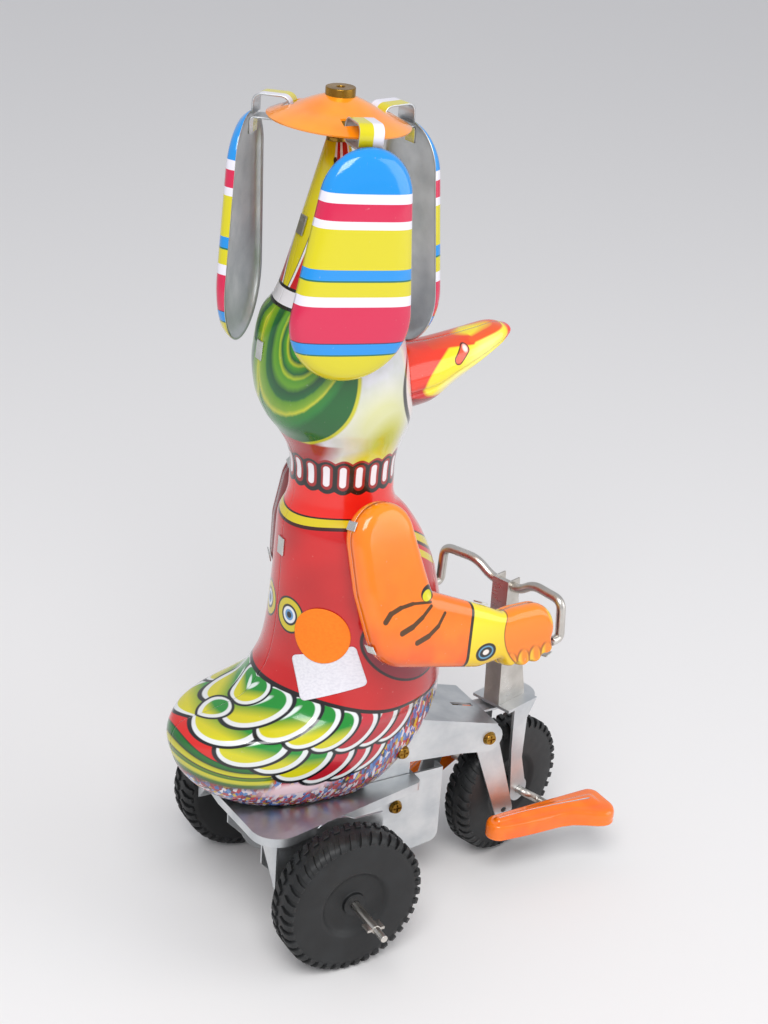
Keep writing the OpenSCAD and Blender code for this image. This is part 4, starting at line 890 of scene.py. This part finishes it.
# %% Arm halves
SHOULDER = Vector((7.7, 20.0, 110.5))
ARM_POSE = {-1: (14, 7, 0), 1: (15, 15, 9)}
RISE = [0, 0.012, 0.03, 0.06, 0.1, 0.15, 0.21, 0.28, 0.36, 0.45, 0.6, 0.78]
OPEN = {-1: [((45, -1, -39.3), (56, 5, -30.3)), ((47.2, -2.4, -39.3), (56, 5, -20))],
        1: [((41.4, -5.7, -37.5), (56, 2.9, -28.6)), ((42.7, -4, -37.5), (48.2, 5.7, -18)),
            ((48.1, -4, -28.7), (56, 0.1, -18))]}
DRAWN_FROM, DRAWN_OVER = 26, 22  # where along the far arm the drawing in starts, and over what length
DRAWN_FORWARD, DRAWN_INWARD = 3.2, 2.2
PILLOW = 3.7  # half the thickness of an arm


def arm_place(side):
    tilt, yaw, drop = ARM_POSE[side]
    return (Matrix.Translation((SHOULDER.x, side * SHOULDER.y, SHOULDER.z)) @ turned(-side * yaw, "Z")
            @ turned(side * tilt, "X") @ turned(drop, "Y"))


def drawn_in(spot, side):
    """The far arm's upper end lies a little closer to the chest than its drawing says."""
    share = min(max((DRAWN_FROM - spot[0]) / DRAWN_OVER, 0), 1) if side > 0 else 0
    return spot[0] + DRAWN_FORWARD * share, spot[1] - DRAWN_INWARD * share, spot[2]


def remember_flat(made, flat):
    """Keeps each point's place on the flat sheet for the print."""
    own = made.data.attributes.new("sheet", "FLOAT_VECTOR", "POINT")
    own.data.foreach_set("vector", [c for p in flat for c in p])


for side, word in SIDES:
    for face, half in ((side, "outer"), (-side, "inner")):
        rows = []
        for k in RISE:
            high = PILLOW * (1 - max(0, 1 - k / 0.42) ** 2.4) ** (1 / 2.4)
            rows.append([(p[0] + k * (c[0] - p[0]), face * (0.03 + high * 0.985), p[1] + k * (c[1] - p[1]))
                         for p, c in zip(outline, centres)])
        points, faces = grid(rows, closed=True)
        faces.append(lid(points, outline))
        # the far arm's points carry 0.25 across the sheet, which turns on the painted shade along its back
        # edge
        flat_places = [(p[0], 0.25 if side > 0 else 0, p[2]) for p in points]
        points = [drawn_in(p, side) for p in points]
        made = build(f"{word}_arm_{half}_half", points, faces, PRINT_ARM, word + "_arm", arm_place(side),
                     turn=face < 0)
        remember_flat(made, flat_places)
        reworked(made.data, 0.12)
        thicken(made, SHEET, SATIN_TIN)
        for low, high in OPEN[side]:
            drilled(made, block(low, high, arm_place(side)))
        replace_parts(made, f"{word}_arm_{half}")
print("arm halves built")

# %% [markdown]
# Wires, drawn round: the handlebar, the cranked front axle and the shoulder pegs. A wire is a circle swept
# along its path, with its corners bent to a radius and its ends broken with a small chamfer.

# %% Wires
WHEELBASE, AXLE_HEIGHT, REAR_WHEEL_OUT = 62.3, 19, 29
CRANK_THROW, CRANK_ANGLE = 5.5, 37
STEER_ANGLE = 17  # how far the steering is turned at rest, in degrees
STEER = Matrix.Translation((WHEELBASE, 0, 0)) @ turned(STEER_ANGLE, "Z")


def bent(path, radius):
    """The path with round bends."""
    path = [Vector(p) for p in path]
    out = [path[0]]
    for a, b, c in zip(path, path[1:], path[2:]):
        back, on = a - b, c - b
        cut = min(radius, back.length * 0.48, on.length * 0.48)
        start, end = b + back.normalized() * cut, b + on.normalized() * cut
        out += [start.lerp(b, t / 8).lerp(b.lerp(end, t / 8), t / 8) for t in range(9)]
    return out + [path[-1]]


def wire(name, path, thick, body, place):
    """A round wire along a path, closed at both ends."""
    rows, across = [], Vector((0.3, 0.2, 1))
    ways = [(b - a).normalized() for a, b in zip(path, path[1:])]
    for number, point in enumerate(path):
        way = (ways[max(number - 1, 0)] + ways[min(number, len(ways) - 1)]).normalized()
        across = (across - way * across.dot(way)).normalized()
        up = way.cross(across)
        rings = [(0, 1)]
        if number == 0:
            rings = [(0, 0.02), (0, 0.7), (0.12, 0.93), (0.35, 1)]
        if number == len(path) - 1:
            rings = [(-0.35, 1), (-0.12, 0.93), (0, 0.7), (0, 0.02)]
        for shift, share in rings:
            rows.append([point + way * shift + (across * math.cos(a) + up * math.sin(a)) * thick * share
                         for a in round_angles(24)])
    points, faces = grid(rows, closed=True)
    return build(name, points, faces, BRIGHT, body, place)


half_bar = [(-6.1, 4.6, 80.3), (-7, 9.5, 84), (-8.2, 19.5, 84), (-8.2, 20.1, 74), (-11.4, 20.1, 74)]
bar_path = bent([(x, -y, z) for x, y, z in half_bar[::-1]] + half_bar, 2.6)
made = wire("bent_handlebar", bar_path, 1.2, "steering", STEER)
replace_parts(made, "handlebar")


def crank(side, across):
    """A point of the crank, on one side and so far out from the middle."""
    lean = math.radians(CRANK_ANGLE)
    forward, up = CRANK_THROW * math.cos(lean), CRANK_THROW * math.sin(lean)
    return (-side * forward, side * across, AXLE_HEIGHT + side * up)


crank_path = bent([crank(-1, 20.6), crank(-1, 8.8), (0, -8.8, AXLE_HEIGHT), (0, 8.8, AXLE_HEIGHT),
                   crank(1, 8.8), crank(1, 20.6)], 1.8)
made = wire("cranked_axle", crank_path, 1.1, BODY_OF["crank_axle"], STEER)
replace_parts(made, "crank_axle")
for side, word in SIDES:
    peg = wire(word + "_shoulder_peg", [Vector((0, -side * 14, 0)), Vector((0, -side * 3.9, 0)),
                                        Vector((0, side * 3.2, 0))], 1.2, "chassis", arm_place(side))
    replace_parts(peg, "shoulder_pins")
print("wires:", len(bar_path), "and", len(crank_path), "stations")

# %% [markdown]
# The wheels are moulded in one piece, with a dished face round a small boss and blocky lugs along both
# shoulders of the tread.

# %% Wheels
PROFILE = [(1.15, -1.9), (7.6, -2.1), (8.6, -3.6), (9.1, -4.35), (9.8, -4.5), (15.4, -4.5),
           (16.6, -4.35), (17.6, -3.8), (18.2, -2.8), (18.42, -1.4), (18.45, 0), (18.42, 1.4),
           (18.2, 2.8), (17.6, 3.8), (16.6, 4.35), (15.4, 4.5), (9.6, 4.5), (8.9, 4.35), (8.3, 3.6),
           (7.6, 3.1), (6.5, 2.95), (3.3, 2.9), (2.95, 3.1), (2.9, 4.0), (2.7, 4.2), (1.15, 4.2)]
LUGS = 40


def wheel(name, node, place, bore):
    """A wheel round its own Z axis with its outer face up; place carries it to its axle."""
    rows = [[(max(r, bore) * math.cos(a), max(r, bore) * math.sin(a), z) for a in round_angles(144)]
            for r, z in PROFILE + PROFILE[:1]]
    points, faces = grid(rows, closed=True)
    for number in range(LUGS):
        for side in (-1, 1):
            middle = 360 / LUGS * (number + (0.25 if side > 0 else 0))
            start = len(points)
            for r, z, lean, half in ((17.0, 0.9, -1.2, 2.6), (18.98, 1.0, -1.2, 2.3), (18.9, 3.2, 1.4, 2.3),
                                     (18.25, 4.25, 2.6, 2.3), (17.3, 4.62, 3.2, 2.4), (16.2, 4.2, 3.4, 2.6)):
                for edge in (-1, 1):
                    a = math.radians(middle + side * lean + edge * half)
                    points.append((r * math.cos(a), r * math.sin(a), side * z))
            ring = [start + 2 * k for k in range(6)]
            lug = [(a, b, b + 1, a + 1) for a, b in zip(ring, ring[1:] + ring[:1])]
            lug += [tuple(ring[::-1]), tuple(k + 1 for k in ring)]
            faces += [f if side > 0 else f[::-1] for f in lug]
    made = build(name, points, faces, TYRE, BODY_OF[node], place)
    reworked(made.data)
    bevel(made, 0.16, 40)
    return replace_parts(made, node)


FRONT_SHARE = 7.6 / 9  # 7.6 mm wide, not 8 as engineered, so that it passes the leg's link at full lock
wheel("right_tyre", "right_rear_wheel",
      Matrix.Translation((0, -REAR_WHEEL_OUT, AXLE_HEIGHT)) @ turned(90, "X"), 1.15)
wheel("left_tyre", "left_rear_wheel",
      Matrix.Translation((0, REAR_WHEEL_OUT, AXLE_HEIGHT)) @ turned(-90, "X"), 2.0)
wheel("front_tyre", "front_wheel", STEER @ Matrix.Translation((0, 0, AXLE_HEIGHT)) @ turned(90, "X")
      @ Matrix.Diagonal((1, 1, FRONT_SHARE, 1)), 1.1)
print("wheels:", LUGS, "lugs on each shoulder")

# %% [markdown]
# The feet are stamped shells with a rounded top edge and a raised ridge along the middle. Each hangs on its
# crank pin, with its heel on the leg's rivet.

# %% Feet
def arc(centre, radius, start, end, steps):
    return [(centre[0] + radius * math.cos(math.radians(start + (end - start) * k / steps)),
             centre[1] + radius * math.sin(math.radians(start + (end - start) * k / steps)))
            for k in range(steps + 1)]


TOE, OUT, HEEL = 14, -10.1, -22
SOLE = (arc((HEEL + 3.3, -0.4), 3.3, 90, 270, 16) + [(-12, -4.6), (-5, -5.0), (2, -5.2)]
        + [(TOE - 6, OUT + 0.1)] + arc((TOE - 4, OUT + 4), 4, -80, 10, 8) + arc((TOE - 3, -0.1), 3, 0, 90, 8)
        + [(4, 2.9), (-8, 2.9)])


def foot(side, word, pitch, pin):
    place = STEER @ Matrix.Translation(pin) @ turned(2 - STEER_ANGLE, "Z") @ turned(-pitch, "Y")
    middle = [(min(max(x, -18.5), 8.5), -0.4 - 2.6 * min(max((x + 10) / 18, 0), 1)) for x, _ in SOLE]
    rows = []
    for k, z in ((0, -2.2), (0, -1.6), (0.02, -1.2), (0.0, -0.9), (0.0, 0.6), (0.03, 1.35), (0.1, 1.9),
                 (0.2, 2.15), (0.55, 2.25), (0.62, 2.4), (0.7, 2.8), (0.85, 3.0), (0.99, 3.05)):
        rows.append([(x + k * (c[0] - x), -side * (y + k * (c[1] - y)), z)
                     for (x, y), c in zip(SOLE, middle)])
    points, faces = grid(rows, closed=True)
    made = build(word + "_foot_shell", points, faces, FOOT_ENAMEL, word + "_foot", place, turn=side > 0)
    thicken(made, SHEET, SATIN_TIN)
    made.modifiers.new("Smooth form", "SUBSURF").render_levels = 1
    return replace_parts(made, word + "_foot")


pins = {side: Vector((crank(side, 16)[0], side * 16, crank(side, 16)[2])) for side in (-1, 1)}
foot(-1, "right", 0, pins[-1])
foot(1, "left", 31.4, pins[1])
print("feet built")

# %% [markdown]
# The whirligig has a domed disc, finished in the next cell, and three flaps whose straps run through its
# slots so that they can swing out. A leaf is dished, printed outside and bare inside.

# %% Flaps
HAT_MIDDLE, HAT_TILT = (2, 0, 202.8), 4  # where the disc sits on the spindle, and how far it leans
HAT = Matrix.Translation(HAT_MIDDLE) @ turned(HAT_TILT, "Y")
DISH = [(1, 0), (0.985, 0.2), (0.965, 0.4), (0.94, 0.56), (0.9, 0.68), (0.84, 0.79), (0.76, 0.88),
        (0.66, 0.94), (0.55, 0.975), (0.4, 0.99), (0.25, 1)]
DISH_DEPTH = 3.4


def leaf_edge(share):
    """Egg outline of a flap, hanging from its hinge, drawn in towards its middle by a share."""
    low, high = (0, -1.6 - 52 + 14), (0, -1.6 - 10.5)
    a = math.degrees(math.acos(3.5 / (high[1] - low[1])))
    line = arc(low, 14, 90 + a, 450 - a, 44) + arc(high, 10.5, 90 - a, 90 + a, 30)
    return [(x * share, -27.6 + (z + 27.6) * share) for x, z in line]


def flap(number, azimuth):
    hang = -math.degrees(math.atan(math.tan(math.radians(HAT_TILT)) * math.cos(math.radians(azimuth))))
    place = HAT @ turned(azimuth, "Z") @ Matrix.Translation((14, 0, 0.7)) @ turned(hang, "Y")
    rows = [[(5.7 + rise * DISH_DEPTH, x, z) for x, z in leaf_edge(share)] for share, rise in DISH]
    points, faces = grid(rows, closed=True)
    faces.append(lid(points, rows[0]))
    made = build(f"flap_{number}_leaf", points, faces, PRINT_FLAP, f"flap_{number}", place)
    remember_flat(made, [(p[1], 0, -p[2]) for p in points])
    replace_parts(thicken(made, SHEET, SATIN_TIN), f"flap_{number}")
    path = ([(4.6, -1.9)] + arc((2.9, 0.7), 1.7, 0, 90, 8) + arc((-1.6, 0.7), 1.7, 90, 180, 8)
            + arc((-1.6, -0.7), 1.7, 180, 270, 8)
            + [(2.9, -2.4), (4.6, -2.4), (5.4, -2.9), (5.55, -4.5), (5.55, -6.4)])
    rows = [[(x, y, z) for y in (-2.8, -2.7, -1.4, 0.1, 1.4, 2.7, 2.8)] for x, z in path]
    points, faces = grid(rows)
    strap = build(f"flap_{number}_strap", points, faces, PRINT_STRAP, f"flap_{number}", place)
    remember_flat(strap, [(p[1], 0, p[2]) for p in points])
    thicken(strap, SHEET, SATIN_TIN, 1.0)
    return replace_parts(strap, f"flap_{number}")


for number, azimuth in ((1, -97), (2, 9), (3, 137)):
    flap(number, azimuth)
print("three flaps built")

# %% [markdown]
# The metal parts listed below keep their engineered shape, with their edges rounded as a press or a lathe
# leaves them. There are two exceptions: the disc is domed a little higher round the hub, and the far arm's
# tabs follow the arm as it is drawn in. The works inside stay as engineered.

# %% Metal parts with softened edges
SOFT = {"platform": 0.3, "front_frame": 0.16, "fork": 0.2, "stem": 0.12, "right_side_plate": 0.15,
        "left_side_plate": 0.15, "right_leg_link": 0.14, "left_leg_link": 0.14, "winding_shaft": 0.2,
        "whirligig_disc": 0.16, "whirligig_hub": 0.35, "hip_screws": 0.14, "knee_screws": 0.14,
        "plate_screws": 0.14, "hat_bushing": 0.14, "body_seam_tabs": 0.12, "arm_seam_tabs_right": 0.1,
        "arm_seam_tabs_left": 0.1, "king_pin": 0.14, "king_pin_washer": 0.1,
        "plate_pillars": 0.1, "spindle_bracket": 0.1}
soft = {name: softened(name, width) for name, width in SOFT.items()}
for point in soft["arm_seam_tabs_left"].data.vertices:
    local = arm_place(1).inverted() @ (point.co / MM)
    point.co = arm_place(1) @ Vector(drawn_in(local, 1)) * MM

# the disc's middle is domed up round the hub
DOME_HIGH, DOME_RADIUS = 2.3, 9.4
hub_points = soft["whirligig_hub"].data.vertices
hub_middle = sum((v.co for v in hub_points), Vector()) / len(hub_points)
for point in soft["whirligig_disc"].data.vertices:
    away = math.hypot(point.co.x - hub_middle.x, point.co.y - hub_middle.y) / MM
    point.co.z += DOME_HIGH * MM * max(0, 1 - away / DOME_RADIUS)
print(len(SOFT), "metal parts softened")

# %% [markdown]
# The two paper stickers follow the jacket. Each is a small sheet whose points are dropped on the body
# sideways, then lifted clear of it by a fraction of a millimetre.

# %% Stickers
skin = BVHTree.FromObject(halves[-1], bpy.context.evaluated_depsgraph_get())


def sticker(name, finish, centre, lean, rows, lift=0.1):
    """Lays rows of (along, up) points in mm on the right side of the body, round a centre in side view."""
    spot, out, _, _ = skin.ray_cast(Vector((centre[0], -60, centre[1])) * MM, Vector((0, 1, 0)))
    up = (Vector((0, 0, 1)) - out * out.z).normalized()
    up.rotate(Matrix.Rotation(math.radians(lean), 3, out))
    along = up.cross(out)
    laid = []
    for row in rows:
        line = []
        for x, z in row:
            hit, normal, _, _ = skin.ray_cast(spot + (along * x + up * z + out * 12) * MM, -out)
            line.append((hit + normal * lift * MM) / MM)
        laid.append(line)
    points, faces = grid(laid, closed=True)
    faces.append(lid(points, rows[0]))
    return thicken(build(name, points, faces, finish, "chassis"), 0.1, finish, 1.0)


dot_rings = [6.9, 6.7, 5.2, 3.5, 2, 0.9]
sticker("round_sticker", ORANGE_PAPER, (-2.5, 83.5), 0,
        [[(r * math.cos(a), r * math.sin(a)) for a in round_angles(60)] for r in dot_rings], 0.24)
corner = (arc((6.9, 4.2), 1.2, 0, 90, 6) + arc((-6.9, 4.2), 1.2, 90, 180, 6)
          + arc((-6.9, -4.2), 1.2, 180, 270, 6) + arc((6.9, -4.2), 1.2, 270, 360, 6))
corner = [(a[0] + k / 8 * (b[0] - a[0]), a[1] + k / 8 * (b[1] - a[1]))
          for a, b in zip(corner, corner[1:] + corner[:1]) for k in range(8)]
sticker("oblong_sticker", WHITE_PAPER, (-1.3, 74.4), 19,
        [[(x * s, z * s) for x, z in corner] for s in (1, 0.97, 0.8, 0.6, 0.4, 0.2)])
print("stickers laid")

# %% [markdown]
# The toy stands on a pale matt table, under one big soft light from above and a weaker one from the front.
# The air around is white. Nothing else is in the room.

# %% Table and light
SPAN = 2400
corners = [(-SPAN, -SPAN, 0), (SPAN, -SPAN, 0), (SPAN, SPAN, 0), (-SPAN, SPAN, 0)]
table = in_scene("table", plain_mesh("table", corners, [(0, 1, 2, 3)]))
TABLE, tree, shader = new_material("pale matt table", 0.6, ior=1.4)
shader.inputs["Base Color"].default_value = ink("#EDEBEA")
table.data.materials.append(TABLE)

world = bpy.data.worlds.new("white room")
bpy.context.scene.world = world
world.use_nodes = True
world.node_tree.nodes["Background"].inputs["Color"].default_value = (0.93, 0.95, 1.0, 1)
world.node_tree.nodes["Background"].inputs["Strength"].default_value = 0.62


def lamp(name, place, aim, size, power):
    """A square soft light looking at a point; places in mm."""
    light = bpy.data.lights.new(name, "AREA")
    light.shape, light.size, light.energy = "SQUARE", size * MM, power
    made = in_scene(name, light)
    made.location = Vector(place) * MM
    made.rotation_euler = (Vector(aim) - Vector(place)).to_track_quat("-Z", "Y").to_euler()


lamp("window light", (-300, -500, 800), (10, 0, 90), 500, 5.5)
lamp("fill light", (600, -500, 350), (10, 0, 90), 600, 1.8)

# %% [markdown]
# The camera looks down on the toy from its right and a little behind, with a short telephoto lens.

# %% Camera
bpy.context.scene.view_settings.view_transform = "Standard"
CAMERA_AWAY = 477.81  # from the target, in mm
right, up = Vector((0.8595, -0.5111, 0)), Vector((0.2172, 0.3652, 0.9052))
back = Vector((-0.4627, -0.7781, 0.4249))
roll = math.radians(4)
cam_right = right * math.cos(roll) + up * math.sin(roll)
cam_up = up * math.cos(roll) - right * math.sin(roll)
target = Vector((20.12, 0, 105.94))
lens = bpy.data.cameras.new("camera")
lens.lens, lens.sensor_width = 69.83, 36
lens.clip_start, lens.clip_end = 0.01, 20
camera = in_scene("camera", lens)
facing = Matrix((cam_right, cam_up, back)).transposed().to_4x4()
camera.matrix_world = Matrix.Translation((target + back * CAMERA_AWAY) * MM) @ facing
bpy.context.scene.camera = camera
print("camera at", [round(c / MM) for c in camera.location], "mm")
